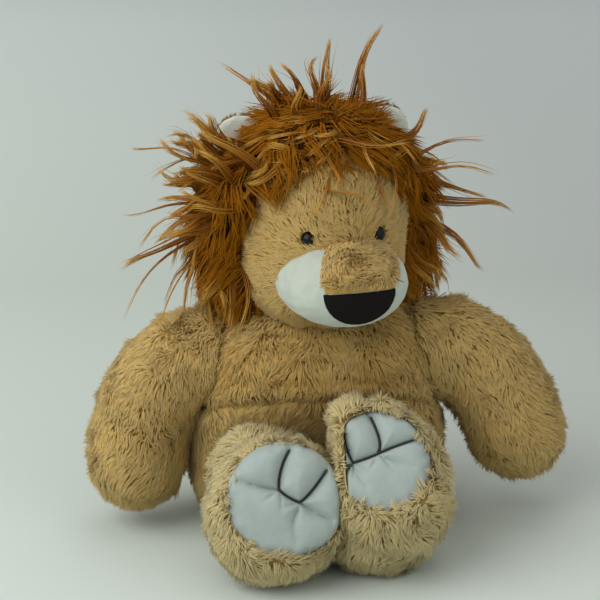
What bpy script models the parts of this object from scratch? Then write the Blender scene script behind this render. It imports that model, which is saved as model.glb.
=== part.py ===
"""Seated plush lion with a shaggy mane and quilted paw soles.

Its head, ears, arms, legs and tail turn on their seams. Units are metres and +Z is up. The lion sits
on the plane Z = 0 with its origin at the middle of its flat seat, and looks along -Y, so its own left
is +X. Each moving group hangs on an empty that stands on the group's seam axis.
"""

import math

import bmesh
import bpy
from mathutils import Matrix, Vector
from mathutils.bvhtree import BVHTree

# Sewing
SKIN = 0.0030  # pile fabric, from its inner face to the top of the dense underfur
CLEAR = 0.0003  # gap between neighbouring pieces
SWING = 0.0014  # gap round a piece that swings in a pocket
LOOSE = 0.0006  # gap between a filling and the fabric round it
OVERRUN = 0.010  # how far a cutter runs past what it cuts
REACH = 0.400  # side of a box that takes everything on one side of a seam

# Body
BODY_HEIGHT = 0.150
BODY_HALF_WIDTH = 0.086
BODY_FRONT = 0.064
BODY_BACK = 0.062
BODY_SHARES = (  # height, half width, depth in front, depth behind
    (0.000, 0.73, 0.62, 0.71),
    (0.070, 0.91, 0.73, 0.90),
    (0.200, 0.99, 0.74, 0.98),
    (0.340, 1.00, 0.72, 1.00),
    (0.480, 0.985, 0.75, 1.00),
    (0.600, 0.960, 0.86, 0.98),
    (0.700, 0.930, 0.950, 0.95),
    (0.800, 0.880, 0.960, 0.90),
    (0.920, 0.765, 0.820, 0.78),
    (1.000, 0.580, 0.600, 0.59),
)
BODY_ROUNDNESS_SHARE = 2.25
BODY_SIDES = 22
SEAT_SEAM = 0.011  # height of the seam round the seat
SIDE_SEAM = 0.006  # how far behind the middle the side seams run
BELLY_SEAM_SHARE = 0.73  # height of the folded hem in the middle of the front, of the body's height
HEM_LEAN = math.radians(26.5)  # the hem falls away to the sides
HEM_HEIGHT = 0.0052
HEM_DEPTH = 0.0046
HEM_PROUD = 0.0020
HEM_STEPS = 8  # steps of the body's sides that the hem spans
PELLET_HEIGHT = 0.030
PELLET_HALF_WIDTH = 0.046
PELLET_HALF_DEPTH = 0.033
PELLET_BACK = 0.010
PELLET_SHARES = (  # height, width
    (0.00, 0.72),
    (0.16, 0.92),
    (0.42, 1.00),
    (0.70, 0.90),
    (0.90, 0.62),
    (1.00, 0.22),
)

# Arms
SHOULDER_OUT = 0.070
SHOULDER_SHARE = 23 / 30  # height of the shoulder seam, of the body's height
SHOULDER_TILT = math.radians(18)
ARM_ROOT_RADIUS = 0.0330
PAW_RADIUS = 0.0318
ARM_DROP = 0.069  # from the shoulder down to the middle of the paw
ARM_SPREAD = 0.053
ARM_FORWARD = 0.012
ARM_SHARES = (  # along the arm: spread, drop, forward, and how far from root to paw radius
    (0.40, 0.05, 0.10, 0.10),
    (0.64, 0.20, 0.25, 0.55),
    (0.84, 0.44, 0.50, 0.95),
    (0.96, 0.74, 0.80, 1.00),
    (1.00, 1.00, 1.00, 1.00),
)
ARM_LIFT = {"right": 0.0, "left": math.radians(13)}
ARM_SIDES = 14
ARM_TIP_RINGS = 3

# Legs and feet
HIP_OUT = 0.0385
HIP_FORWARD = 0.0460
HIP_UP = 0.0462
HIP_RADIUS = 0.0355
HIP_FLAT = 0.0325  # from the hip joint's middle in to the flat face of its root
HIP_SIDES = 16
HIP_RINGS = 9
LEG_RADIUS = 0.0310
LEG_SIDES = 12
FOOT_SIDES = 18
FOOT_RINGS = 7
FOOT_HALF_WIDTH = {"right": 0.0430, "left": 0.0405}
FOOT_HALF_HEIGHT = {"right": 0.0465, "left": 0.0530}  # the near foot is pressed shorter and wider
FOOT_HALF_DEPTH = 0.0330
FOOT_SQUARE_SHARE = 0.70
FOOT_OUT = {"right": 0.0360, "left": 0.0325}
FOOT_SEAM = 0.0040  # the feet press flat against each other here
FOOT_FORWARD = {"right": 0.1120, "left": 0.1037}
FOOT_UP = {"right": 0.0485, "left": 0.0662}
FOOT_TILT = {"right": math.radians(17), "left": math.radians(33)}
FOOT_ROLL = math.radians(27)
HEEL_FORWARD = {"right": 0.1030, "left": 0.0930}
HEEL_RADIUS = 0.0425
HEEL_UP = 0.0414  # less than the radius, so that the heel is cut flat where it rests
SOLE_HALF_WIDTH = {"right": 0.0340, "left": 0.0290}
SOLE_HALF_HEIGHT = {"right": 0.0335, "left": 0.0320}
SOLE_TOWARDS_TOES = {"right": 0.0090, "left": 0.0060}
SOLE_FORWARD = 0.0205  # from the foot's middle out to the middle of the sole's seam
SOLE_LEAN = math.radians(9)  # the sole leans back towards the toes
SOLE_BULGE = 0.0062
SOLE_EDGE = 0.0032  # thickness of the sole at its seam
QUILT_DEPTH = 0.0042
QUILT_WIDTH = 0.0034
TUCK_DEPTH = 0.0022
THREAD_RADIUS = 0.0006
TOE_GAP_SHARES = {  # the thread round the middle toe, in shares of the sole's half width and half height
    "right": ((-0.33, 0.86), (-0.31, 0.49), (-0.20, 0.13), (0.25, 0.08), (0.36, 0.39), (0.46, 0.82)),
    "left": ((-0.47, 0.82), (-0.51, 0.57), (-0.55, 0.23), (0.02, 0.14), (0.22, 0.37), (0.32, 0.84)),
}
TUCK_SHARES = {  # from the ends of the toe gaps out to the sole's edge
    "right": (((-0.20, 0.13), (-0.95, -0.04)), ((0.25, 0.08), (0.95, 0.04))),
    "left": (((-0.55, 0.23), (-0.94, 0.12)), ((0.02, 0.14), (0.92, 0.02))),
}
THREADED_TUCK = {"right": None, "left": 1}
SOLE_RINGS = 7
SOLE_SIDES = 26

# Head, in its own frame: the neck seam is its zero height
HEAD_TURN = math.radians(12)
HEAD_HEIGHT = 0.128
HEAD_HALF_WIDTH = 0.0550
HEAD_FRONT = 0.0590
HEAD_BACK = 0.0520
HEAD_FORWARD = 0.0070
HEAD_SHARES = (  # height, half width, depth in front, depth behind
    (0.000, 0.69, 0.67, 0.71),
    (0.110, 0.91, 0.89, 0.91),
    (0.270, 1.00, 0.98, 1.00),
    (0.440, 1.00, 1.00, 1.00),
    (0.600, 0.96, 0.98, 0.97),
    (0.730, 0.86, 0.90, 0.89),
    (0.840, 0.71, 0.76, 0.76),
    (0.925, 0.51, 0.56, 0.56),
    (0.980, 0.27, 0.30, 0.30),
    (1.000, 0.06, 0.07, 0.07),
)
HEAD_ROUNDNESS_SHARE = 2.1
HEAD_SIDES = 22

# Muzzle and nose
MUZZLE_UP = 0.0330
MUZZLE_OUT = 0.0520  # from the neck's axis to the muzzle's widest section
MUZZLE_HALF_WIDTH = 0.0435
MUZZLE_ABOVE = 0.0300
MUZZLE_BELOW = 0.0290
MUZZLE_LENGTH = 0.0430
MUZZLE_BLUNT_SHARE = 0.58
MUZZLE_RINGS = 6
MUZZLE_SIDES = 20
MUZZLE_SKIN = 0.0022
NOSE_TOP = 0.0365
NOSE_HALF_WIDTH = 0.0240
NOSE_HEIGHT = 0.0225
NOSE_PROUD = 0.0008
NOSE_SIDES = 16
BRIDGE_HALF_WIDTH_AT_FACE = 0.0285
BRIDGE_HALF_WIDTH_AT_NOSE = 0.0228

# Eyes
EYE_OUT = 0.0240
EYE_UP = 0.0635
EYE_RADIUS = 0.0052
EYE_HEIGHT = 0.0042
SHANK_RADIUS = 0.0014
SHANK_LENGTH = 0.0078
WASHER_RADIUS = 0.0060
WASHER_THICKNESS = 0.0012
WASHER_DEPTH = 0.0052  # from the face down to the washer
EYE_SIDES = 12

# Mane
MANE_HEIGHT = 0.144
MANE_HALF_WIDTH = 0.0900
MANE_BACK = 0.0750
MANE_FRONT = 0.0560
MANE_SHARES = (  # height, half width, depth in front, depth behind
    (0.000, 0.74, 0.80, 0.76),
    (0.070, 0.88, 0.92, 0.90),
    (0.190, 0.98, 0.98, 0.98),
    (0.340, 1.00, 1.00, 1.00),
    (0.500, 0.98, 1.00, 0.99),
    (0.640, 0.90, 0.98, 0.94),
    (0.770, 0.76, 0.90, 0.83),
    (0.880, 0.57, 0.72, 0.66),
    (0.960, 0.34, 0.46, 0.42),
    (1.000, 0.08, 0.12, 0.10),
)
MANE_SIDES = 18
MANE_LIFT = 0.0008  # the mane's lower edge clears the shoulders
HAIRLINE_UP = 0.110
HAIRLINE_FORWARD = 0.0300
HAIRLINE_LEAN = math.radians(14)
CROWN_SEAM_SHARE = 0.722  # of the mane's height
NAPE_SEAM_SHARE = 0.347  # of its depth behind
LOCK_RADIUS = 0.0085
LOCK_TIP_RADIUS = 0.0011
LOCK_SINK = 0.0080
LOCK_DROOP = 0.0060  # how far a lock sags half way along
LOCK_ANCHOR_UP = 0.070
LOCK_SIDES = 5
LOCK_RINGS = 4
# Each lock's root in degrees from straight up to the left, and to the back. Then its tip's share of the
# mane's half width to the left, of the mane's depth to the back, and of the mane's height.
LOCK_SHARES = {
    "mane_crown": (
        (18, -6, 0.464, 0.000, 1.325),
        (6, 6, 0.126, 0.085, 1.260),
        (15, -21, 0.367, -0.213, 1.150),
        (-2, -17, 0.000, -0.154, 1.160),
        (-15, -21, -0.261, -0.273, 1.070),
        (-27, -10, -0.512, -0.043, 1.120),
        (12, 34, 0.193, 0.725, 1.110),
        (-16, 38, -0.290, 0.836, 1.020),
        (-47, -18, -1.083, -0.128, 0.955),
        (47, -18, 0.889, -0.128, 0.885),
    ),
    "mane_right": (
        (-77, -13, -1.025, -0.213, 0.750),
        (-83, 3, -1.141, -0.085, 0.470),
        (-91, -12, -1.257, 0.017, 0.360),
        (-98, 5, -1.508, 0.043, 0.215),
        (-108, 7, -1.005, 0.085, 0.020),
        (-114, -2, -0.754, -0.256, 0.035),
    ),
    "mane_left": (
        (76, -14, 0.870, -0.393, 0.700),
        (80, 5, 1.402, 0.119, 0.420),
        (88, -6, 1.595, -0.017, 0.335),
        (97, -9, 1.063, -0.384, 0.250),
        (101, 0, 1.295, -0.171, 0.125),
        (114, -3, 0.889, -0.290, 0.045),
        (109, 7, 1.102, 0.205, 0.020),
    ),
    "mane_nape": (
        (-76, 38, -0.822, 1.150, 0.720),
        (-92, 36, -1.015, 1.100, 0.400),
        (-112, 38, -0.638, 1.200, 0.120),
        (0, 78, 0.019, 1.360, 0.460),
        (112, 38, 0.599, 1.240, 0.140),
        (92, 36, 1.005, 1.100, 0.400),
        (76, 38, 0.754, 1.220, 0.740),
    ),
}

# Ears, each in its own frame: the root seam is its zero height
EAR_ANGLE = math.radians(44)
EAR_DISTANCE = 0.0560  # from the head's middle height to the root seam
EAR_CENTRE_UP = 0.062
EAR_BACK = 0.0100
EAR_HALF_WIDTH = 0.0190
EAR_HEIGHT = 0.0340
EAR_HALF_THICKNESS = 0.0036
EAR_SHARES = (  # height, half width, half thickness
    (0.00, 0.78, 0.90),
    (0.22, 0.94, 1.00),
    (0.48, 1.00, 1.00),
    (0.72, 0.86, 0.92),
    (0.90, 0.56, 0.72),
    (1.00, 0.16, 0.34),
)
EAR_SIDES = 12
EAR_SWING = math.radians(22)

# Tail
TAIL_UP = 0.0240
TAIL_ROOT_RADIUS = 0.0086
TAIL_FLAT = 0.0068  # from the tail joint's middle down to the flat face of its root
TAIL_RADIUS = 0.0066
TAIL_LENGTH = 0.0620
TAIL_SHARES = (  # back, to the left, up
    (0.00, 0.00, 0.00),
    (0.30, 0.03, -0.07),
    (0.58, 0.14, -0.12),
    (0.80, 0.31, -0.14),
    (0.95, 0.52, -0.13),
)
TAIL_SIDES = 12
TAIL_RINGS = 8
TUFT_LENGTH = 0.0380
TUFT_RADIUS = 0.0110
TUFT_SHARES = (  # length, radius
    (0.00, 0.55),
    (0.12, 0.84),
    (0.32, 1.00),
    (0.56, 0.88),
    (0.80, 0.50),
    (0.95, 0.18),
)

SIDES = {"right": -1, "left": 1}


def material(name, colour, roughness, sheen=0.0):
    """A Principled material from an sRGB hex colour."""
    made = bpy.data.materials.new(name)
    made.use_nodes = True
    shader = made.node_tree.nodes["Principled BSDF"]
    channels = [int(colour[start:start + 2], 16) / 255 for start in (1, 3, 5)]
    linear = [c / 12.92 if c <= 0.04045 else ((c + 0.055) / 1.055) ** 2.4 for c in channels]
    shader.inputs["Base Color"].default_value = (*linear, 1)
    shader.inputs["Roughness"].default_value = roughness
    shader.inputs["Metallic"].default_value = 0
    shader.inputs["Sheen Weight"].default_value = sheen
    made.diffuse_color = (*linear, 1)
    return made


def mesh_object(name, points, faces):
    """An object of its own mesh, with every face pointing out."""
    mesh = bpy.data.meshes.new(name)
    mesh.from_pydata([tuple(point) for point in points], [], faces)
    work = bmesh.new()
    work.from_mesh(mesh)
    bmesh.ops.recalc_face_normals(work, faces=work.faces)
    work.to_mesh(mesh)
    work.free()
    made = bpy.data.objects.new(name, mesh)
    bpy.context.scene.collection.objects.link(made)
    return made


def loft(name, rings):
    """A closed form through cross-sections of equally many points, shut by a fan at either end."""
    count = len(rings[0])
    points = [point for ring in rings for point in ring]
    faces = []
    for level in range(len(rings) - 1):
        for step in range(count):
            after = (step + 1) % count
            low, high = level * count, (level + 1) * count
            faces.append((low + step, low + after, high + after, high + step))
    for level in (0, len(rings) - 1):
        middle = len(points)
        points.append(sum(rings[level], Vector()) / count)
        start = level * count
        faces += [(start + step, start + (step + 1) % count, middle) for step in range(count)]
    return mesh_object(name, points, faces)


def box(name, low, high):
    """A block between two corners."""
    spans = list(zip(low, high))
    corners = [Vector((x, y, z)) for x in spans[0] for y in spans[1] for z in spans[2]]
    sides = [(0, 1, 3, 2), (4, 6, 7, 5), (0, 4, 5, 1), (2, 3, 7, 6), (0, 2, 6, 4), (1, 5, 7, 3)]
    return mesh_object(name, corners, sides)


def beyond(point, normal, gap=0.0):
    """A block that takes everything on the side of a plane that its normal points to."""
    made = box("beyond", (-REACH, -REACH, gap), (REACH, REACH, REACH + gap))
    turn = Vector((0, 0, 1)).rotation_difference(Vector(normal)).to_matrix().to_4x4()
    return moved(made, Matrix.Translation(Vector(point)) @ turn)


def moved(made, matrix):
    """The object with a placement worked into its mesh."""
    made.data.transform(matrix)
    return made


def copied(made, name):
    """A second object with its own mesh."""
    twin = bpy.data.objects.new(name, made.data.copy())
    bpy.context.scene.collection.objects.link(twin)
    return twin


def dropped(*helpers):
    """Removes cutters and guides that have done their work."""
    for helper in helpers:
        bpy.data.objects.remove(helper)


def combined(made, other, operation, keep=False, solver="EXACT"):
    """The object after one Boolean with another, which goes unless it is kept."""
    change = made.modifiers.new(operation.lower(), "BOOLEAN")
    change.operation = operation
    change.solver = solver
    change.object = other
    graph = bpy.context.evaluated_depsgraph_get()
    mesh = bpy.data.meshes.new_from_object(made.evaluated_get(graph), depsgraph=graph)
    made.modifiers.clear()
    made.data = mesh
    if not keep:
        dropped(other)
    return made


def cut(made, *cutters, keep=False, solver="EXACT"):
    """The object less each cutter."""
    for cutter in cutters:
        combined(made, cutter, "DIFFERENCE", keep, solver)
    return made


def united(made, *others, solver="EXACT"):
    """The object joined with each of the others."""
    for other in others:
        combined(made, other, "UNION", solver=solver)
    return made


def within(made, region, name, solver="EXACT"):
    """A copy of the part of the object that lies inside a region."""
    return combined(copied(made, name), region, "INTERSECT", solver=solver)


def finished(made, name, finish, parent=None):
    """Names a piece, gives it its material, shades it smooth and hangs it on its seam's empty."""
    made.name = made.data.name = name
    made.data.materials.clear()
    made.data.materials.append(finish)
    made.data.shade_smooth()
    made.data.set_sharp_from_angle(angle=math.radians(50))
    made.parent = parent
    return made


def seam_empty(name, place, turn=None, parent=None):
    """An empty on a seam's axis, for the pieces that move with it."""
    made = bpy.data.objects.new(name, None)
    bpy.context.scene.collection.objects.link(made)
    made.matrix_world = Matrix.Translation(Vector(place)) @ (turn or Matrix())
    made.parent = parent
    return made


def superellipse(turn, width, front, back, power):
    """A point of an ellipse squared off a little, of its own depth in front and behind."""
    along, across = math.cos(turn), math.sin(turn)
    depth = back if across > 0 else front
    x = math.copysign(abs(along) ** (2 / power), along) * width
    y = math.copysign(abs(across) ** (2 / power), across) * depth
    return Vector((x, y, 0))


def rounded_ring(width, front, back, height, shift, power, count):
    """One level cross-section, moved back by a shift."""
    turns = [2 * math.pi * step / count for step in range(count)]
    return [superellipse(turn, width, front, back, power) + Vector((0, shift, height)) for turn in turns]


def upright_form(name, shares, size, shift, power, count, inset=0.0, top=0.0, floor=0.0, down=0.0):
    """A form of level cross-sections. size is height, half width, depth in front and behind."""
    tall, wide, front, back = size
    rings = []
    for height, *spans in shares:
        level = floor + height * (tall - floor)
        width, fore, aft = (share * span - inset for share, span in zip(spans, (wide, front, back)))
        rings.append(rounded_ring(width, fore, aft, level, shift, power, count))
    if top:
        rings.append([point + Vector((0, 0, top)) for point in rings[-1]])
    if down:
        rings.insert(0, [point - Vector((0, 0, down)) for point in rings[0]])
    return loft(name, rings)


def round_form(name, centre, axis, profile, count, wide=1.0, tall=1.0):
    """A form turned round an axis from (distance along it, radius) pairs, made oval by two factors."""
    turn = Vector((0, 0, 1)).rotation_difference(Vector(axis)).to_matrix()
    rings = []
    for along, radius in profile:
        ring = []
        for step in range(count):
            angle = 2 * math.pi * step / count
            local = Vector((math.cos(angle) * radius * wide, math.sin(angle) * radius * tall, along))
            ring.append(Vector(centre) + turn @ local)
        rings.append(ring)
    return loft(name, rings)


def ball(name, centre, radius, count, rings):
    """A faceted ball."""
    profile = []
    for step in range(rings):
        angle = math.pi * (step + 0.35) / (rings - 0.3) - math.pi / 2
        profile.append((math.sin(angle) * radius, math.cos(angle) * radius))
    return round_form(name, centre, (0, 0, 1), profile, count)


def seam_ball(name, centre, radius, towards, flat, count, rings):
    """A ball with one flat face, square to the axis that it turns on."""
    return cut(ball(name, centre, radius, count, rings), beyond(centre, towards, flat))


def spine_frame(points, index, side):
    """The tangent of a spine at one of its points, and two directions across it."""
    before, after = points[max(index - 1, 0)], points[min(index + 1, len(points) - 1)]
    tangent = (after - before).normalized()
    across = tangent.cross(side).normalized()
    return tangent, across, across.cross(tangent).normalized()


def tube(name, points, radii, count, side=Vector((0, 1, 0))):
    """A tube along a spine, with a radius at each point."""
    rings = []
    for index, (point, radius) in enumerate(zip(points, radii)):
        _, across, upward = spine_frame(points, index, side)
        ring = []
        for step in range(count):
            angle = 2 * math.pi * step / count
            ring.append(point + (across * math.cos(angle) + upward * math.sin(angle)) * radius)
        rings.append(ring)
    return loft(name, rings)


def body_form(name, inset=0.0, top=0.0, floor=0.0):
    """The body's outline, or the same drawn in by an inset."""
    tall = BODY_HEIGHT + (CLEAR if top else 0.0)
    size = (tall, BODY_HALF_WIDTH, BODY_FRONT, BODY_BACK)
    return upright_form(name, BODY_SHARES, size, 0, BODY_ROUNDNESS_SHARE, BODY_SIDES, inset, top, floor)


def body_level(height):
    """Half width, front and back depth of the body at a height."""
    share = height / BODY_HEIGHT
    for low, high in zip(BODY_SHARES, BODY_SHARES[1:]):
        if low[0] <= share <= high[0]:
            way = (share - low[0]) / (high[0] - low[0])
            spans = [a + (b - a) * way for a, b in zip(low[1:], high[1:])]
            return [s * size for s, size in zip(spans, (BODY_HALF_WIDTH, BODY_FRONT, BODY_BACK))]
    raise ValueError("no body at that height")


def shoulder(side):
    """The shoulder seam's middle and its axis, which points out of the body."""
    sign = SIDES[side]
    place = Vector((sign * SHOULDER_OUT, 0, SHOULDER_SHARE * BODY_HEIGHT))
    return place, Vector((sign * math.cos(SHOULDER_TILT), 0, math.sin(SHOULDER_TILT)))


def hip(side):
    """The hip joint's middle."""
    return Vector((SIDES[side] * HIP_OUT, -HIP_FORWARD, HIP_UP))


def hip_ball(name, side, inset, flat_inset):
    """The round root of a leg, flat towards the middle of the body."""
    radius, flat = HIP_RADIUS - inset, HIP_FLAT - flat_inset
    return seam_ball(name, hip(side), radius, (-SIDES[side], 0, 0), flat, HIP_SIDES, HIP_RINGS)


def tail_root():
    """The tail joint's middle, on the back seam."""
    return Vector((0, body_level(TAIL_UP)[2], TAIL_UP))


def seam_cutters():
    """What the shoulders, hips and tail take out of the body."""
    made = []
    for side in SIDES:
        place, axis = shoulder(side)
        made.append(beyond(place, axis, -CLEAR / 2))
        made.append(hip_ball("hip_socket", side, -SWING, -CLEAR))
    radius, flat = TAIL_ROOT_RADIUS + SWING, TAIL_FLAT + CLEAR
    made.append(seam_ball("tail_socket", tail_root(), radius, (0, 0, -1), flat, TAIL_SIDES, TAIL_RINGS))
    return made


def pellet_form(name, grow=0.0, down=0.0):
    """A flat bag of pellets that lies on the seat, or the pocket that holds it."""
    low = SKIN + CLEAR
    rings = []
    for height, width in PELLET_SHARES:
        wide, deep = PELLET_HALF_WIDTH * width + grow, PELLET_HALF_DEPTH * width + grow
        level = low + height * PELLET_HEIGHT
        rings.append(rounded_ring(wide, deep, deep, level, PELLET_BACK, 2, BODY_SIDES))
    rings[-1] = [point + Vector((0, 0, grow)) for point in rings[-1]]
    if down:
        rings.insert(0, [point - Vector((0, 0, down)) for point in rings[0]])
    return loft(name, rings)


def hem_plane():
    """A point on the hem's plane and its normal: it leans back, so the hem falls away to the sides."""
    place = Vector((0, -BODY_FRONT, BELLY_SEAM_SHARE * BODY_HEIGHT))
    return place, Vector((0, math.sin(HEM_LEAN), math.cos(HEM_LEAN)))


def hem_form():
    """The folded hem across the front, a flat roll along the body's outline."""
    place, normal = hem_plane()
    route = []
    for step in range(-HEM_STEPS, HEM_STEPS + 1):
        point = Vector(place)
        turn = math.pi * (1.5 + step / BODY_SIDES)
        for _ in range(12):
            width, front, back = body_level(point.z)
            point = superellipse(turn, width, front, back, BODY_ROUNDNESS_SHARE)
            point.z = place.z - (point.y - place.y) * normal.y / normal.z
        route.append(point)
    inward = HEM_PROUD - HEM_DEPTH / 2
    rings = []
    for index, point in enumerate(route):
        tangent, _, _ = spine_frame(route, index, normal)
        outward = tangent.cross(normal).normalized()
        section = []
        for step in range(8):
            angle = 2 * math.pi * (step + 0.5) / 8
            section.append(point + outward * (inward + math.cos(angle) * HEM_DEPTH / 2)
                           + normal * (math.sin(angle) * HEM_HEIGHT / 2))
        rings.append(section)
    return loft("belly_hem", rings)


def make_body(pile, fibre, cloth):
    """The body's fabric panels, the hem across the belly, the filling and the pellet bag."""
    shell = cut(body_form("shell"), body_form("hollow", SKIN, OVERRUN, SKIN))
    cutters = seam_cutters()
    cut(shell, *cutters, keep=True)
    gap = CLEAR / 2
    front = ((-REACH, -REACH, SEAT_SEAM + gap), (REACH, SIDE_SEAM - gap, REACH))
    regions = {
        "chest_panel": front,
        "belly_panel": front,
        "back_panel_right": ((-REACH, SIDE_SEAM + gap, SEAT_SEAM + gap), (-gap, REACH, REACH)),
        "back_panel_left": ((gap, SIDE_SEAM + gap, SEAT_SEAM + gap), (REACH, REACH, REACH)),
        "seat_panel": ((-REACH, -REACH, -REACH), (REACH, REACH, SEAT_SEAM - gap)),
    }
    panels = {name: within(shell, box("region", low, high), name) for name, (low, high) in regions.items()}
    place, normal = hem_plane()
    half = HEM_HEIGHT / 2 + CLEAR
    cut(panels["chest_panel"], beyond(place, -normal, -half))
    cut(panels["belly_panel"], beyond(place, normal, -half))
    for name, panel in panels.items():
        finished(panel, name, pile)
    dropped(shell)
    finished(hem_form(), "belly_hem", pile)
    filling = body_form("body_filling", SKIN + LOOSE, 0.0, SKIN + LOOSE)
    cut(filling, *cutters)
    cut(filling, pellet_form("pocket", CLEAR, OVERRUN))
    finished(filling, "body_filling", fibre)
    finished(pellet_form("pellet_bag"), "pellet_bag", cloth)


def arm_form(name, side, inset=0.0):
    """An arm from inside the shoulder seam to the round end of the paw."""
    sign = SIDES[side]
    place, axis = shoulder(side)
    lean = Matrix.Rotation(-sign * ARM_LIFT[side], 3, "Y")
    points, radii = [place - axis * (OVERRUN + inset), place], [ARM_ROOT_RADIUS, ARM_ROOT_RADIUS]
    for spread, drop, forward, swell in ARM_SHARES:
        offset = Vector((sign * ARM_SPREAD * spread, -ARM_FORWARD * forward, -ARM_DROP * drop))
        points.append(place + lean @ offset)
        radii.append(ARM_ROOT_RADIUS + (PAW_RADIUS - ARM_ROOT_RADIUS) * swell)
    heading = (points[-1] - points[-2]).normalized()
    end, radius = points[-1], radii[-1]
    for step in range(1, ARM_TIP_RINGS + 1):
        angle = math.pi / 2 * (step - 0.08) / ARM_TIP_RINGS
        points.append(end + heading * (math.sin(angle) * (radius - inset)))
        radii.append(math.cos(angle) * (radius - inset) + inset)
    return tube(name, points, [radius - inset for radius in radii], ARM_SIDES)


def make_arm(side, pile, fibre):
    """One arm's cover and filling, on the shoulder's empty."""
    place, axis = shoulder(side)
    empty = seam_empty("shoulder_seam_" + side, place)
    to_seam = Matrix.Translation(-place)
    cover = cut(arm_form("cover", side), arm_form("hollow", side, SKIN))
    filling = arm_form("filling", side, SKIN + LOOSE)
    for made, name, finish in ((cover, "arm_cover_", pile), (filling, "arm_filling_", fibre)):
        cut(made, beyond(place, -axis, -CLEAR / 2))
        finished(moved(made, to_seam), name + side, finish, empty)


def foot_profile(side, inset=0.0):
    """The foot's cross-section as (distance along its axis, radius) pairs, the sole's side last."""
    profile = []
    for step in range(FOOT_RINGS):
        angle = math.pi * (step + 0.3) / (FOOT_RINGS - 0.4) - math.pi / 2
        along = math.sin(angle) * (FOOT_HALF_DEPTH - inset)
        profile.append((along, math.cos(angle) ** FOOT_SQUARE_SHARE * (FOOT_HALF_WIDTH[side] - inset)))
    return profile


def foot_disc(side, inset=0.0):
    """A foot about its own middle, with its sole towards -Y and its toes up."""
    tall = (FOOT_HALF_HEIGHT[side] - inset) / (FOOT_HALF_WIDTH[side] - inset)
    disc = round_form("foot", (0, 0, 0), (0, 0, 1), foot_profile(side, inset), FOOT_SIDES, 1.0, tall)
    return moved(disc, Matrix.Rotation(math.pi / 2, 4, "X"))


def foot_frame(side):
    """The foot's frame: X across, -Y the way the sole faces, Z towards the toes."""
    place = Vector((SIDES[side] * FOOT_OUT[side], -FOOT_FORWARD[side], FOOT_UP[side]))
    turn = Matrix.Rotation(-FOOT_TILT[side], 4, "X") @ Matrix.Rotation(-SIDES[side] * FOOT_ROLL, 4, "Y")
    return Matrix.Translation(place) @ turn


def sole_frame(side):
    """The sole's frame, from the foot's: its origin is the middle of the sole's seam."""
    shift = Matrix.Translation((0, -SOLE_FORWARD, SOLE_TOWARDS_TOES[side]))
    return foot_frame(side) @ shift @ Matrix.Rotation(-SOLE_LEAN, 4, "X")


def foot_seam(side, inset):
    """A block that takes everything nearer than an inset to the face that presses on the other foot."""
    return beyond((FOOT_SEAM, 0, 0), (-SIDES[side], 0, 0), -CLEAR / 2 - inset)


def leg_form(name, side, inset=0.0):
    """A leg's round root, its short tube and its big round foot in one, flat against the other foot."""
    frame = foot_frame(side)
    root, foot = hip(side), frame.translation
    made = hip_ball(name, side, inset, inset)
    spine = [root, root.lerp(foot, 0.5), foot]
    leg = tube("leg", spine, [LEG_RADIUS - inset] * 3, LEG_SIDES, Vector((0, 0, 1)))
    place = Vector((foot.x, -HEEL_FORWARD[side], HEEL_UP))
    heel = ball("heel", place, HEEL_RADIUS - inset, FOOT_SIDES, FOOT_RINGS)
    united(made, leg, moved(foot_disc(side, inset), frame), heel)
    return cut(made, foot_seam(side, inset))


def to_segment(point, start, end):
    """The distance from a point to a straight stitch line, in two dimensions."""
    along = end - start
    way = max(0.0, min(1.0, (point - start).dot(along) / along.length_squared))
    return (point - start - along * way).length


def on_sole(side, share):
    """A point of the sole, in two dimensions, from its shares of the half width and half height."""
    return Vector((share[0] * SOLE_HALF_WIDTH[side], share[1] * SOLE_HALF_HEIGHT[side]))


def sole_height(side, point):
    """How far the sole stands out at a point: a bulge that the toe gaps and tucks draw in."""
    share = math.hypot(point.x / SOLE_HALF_WIDTH[side], point.y / SOLE_HALF_HEIGHT[side])
    swell = SOLE_BULGE * max(0.0, 1 - share * share) ** 0.62
    gaps = [on_sole(side, share) for share in TOE_GAP_SHARES[side]]
    nearest = min(to_segment(point, a, b) for a, b in zip(gaps, gaps[1:]))
    drawn = QUILT_DEPTH * math.exp(-((nearest / QUILT_WIDTH) ** 2))
    for start, end in TUCK_SHARES[side]:
        distance = to_segment(point, on_sole(side, start), on_sole(side, end))
        drawn = max(drawn, TUCK_DEPTH * math.exp(-((distance / QUILT_WIDTH) ** 2)))
    return swell - min(drawn, swell + SOLE_EDGE / 3)


def sole_form(name, side):
    """The padded sole, quilted into three toes and a pad, facing -Y in its own frame."""
    edge = 1 - CLEAR / SOLE_HALF_WIDTH[side]
    points, faces = [Vector((0, -sole_height(side, Vector((0, 0))), 0))], []
    for ring in range(1, SOLE_RINGS + 1):
        share = edge * math.sin(math.pi / 2 * ring / SOLE_RINGS * 0.94) / math.sin(math.pi / 2 * 0.94)
        for step in range(SOLE_SIDES):
            angle = 2 * math.pi * step / SOLE_SIDES
            place = on_sole(side, (share * math.cos(angle), share * math.sin(angle)))
            points.append(Vector((place.x, -sole_height(side, place), place.y)))
    first = 1 + (SOLE_RINGS - 1) * SOLE_SIDES
    back = len(points)
    for step in range(SOLE_SIDES):
        points.append(Vector((points[first + step].x, SOLE_EDGE, points[first + step].z)))
    middle = len(points)
    points.append(Vector((0, SOLE_EDGE, 0)))
    for step in range(SOLE_SIDES):
        after = (step + 1) % SOLE_SIDES
        faces.append((0, 1 + step, 1 + after))
        for ring in range(SOLE_RINGS - 1):
            low = 1 + ring * SOLE_SIDES
            high = low + SOLE_SIDES
            faces.append((low + step, high + step, high + after, low + after))
        faces.append((first + step, back + step, back + after, first + after))
        faces.append((back + step, middle, back + after))
    return mesh_object(name, points, faces)


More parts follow.
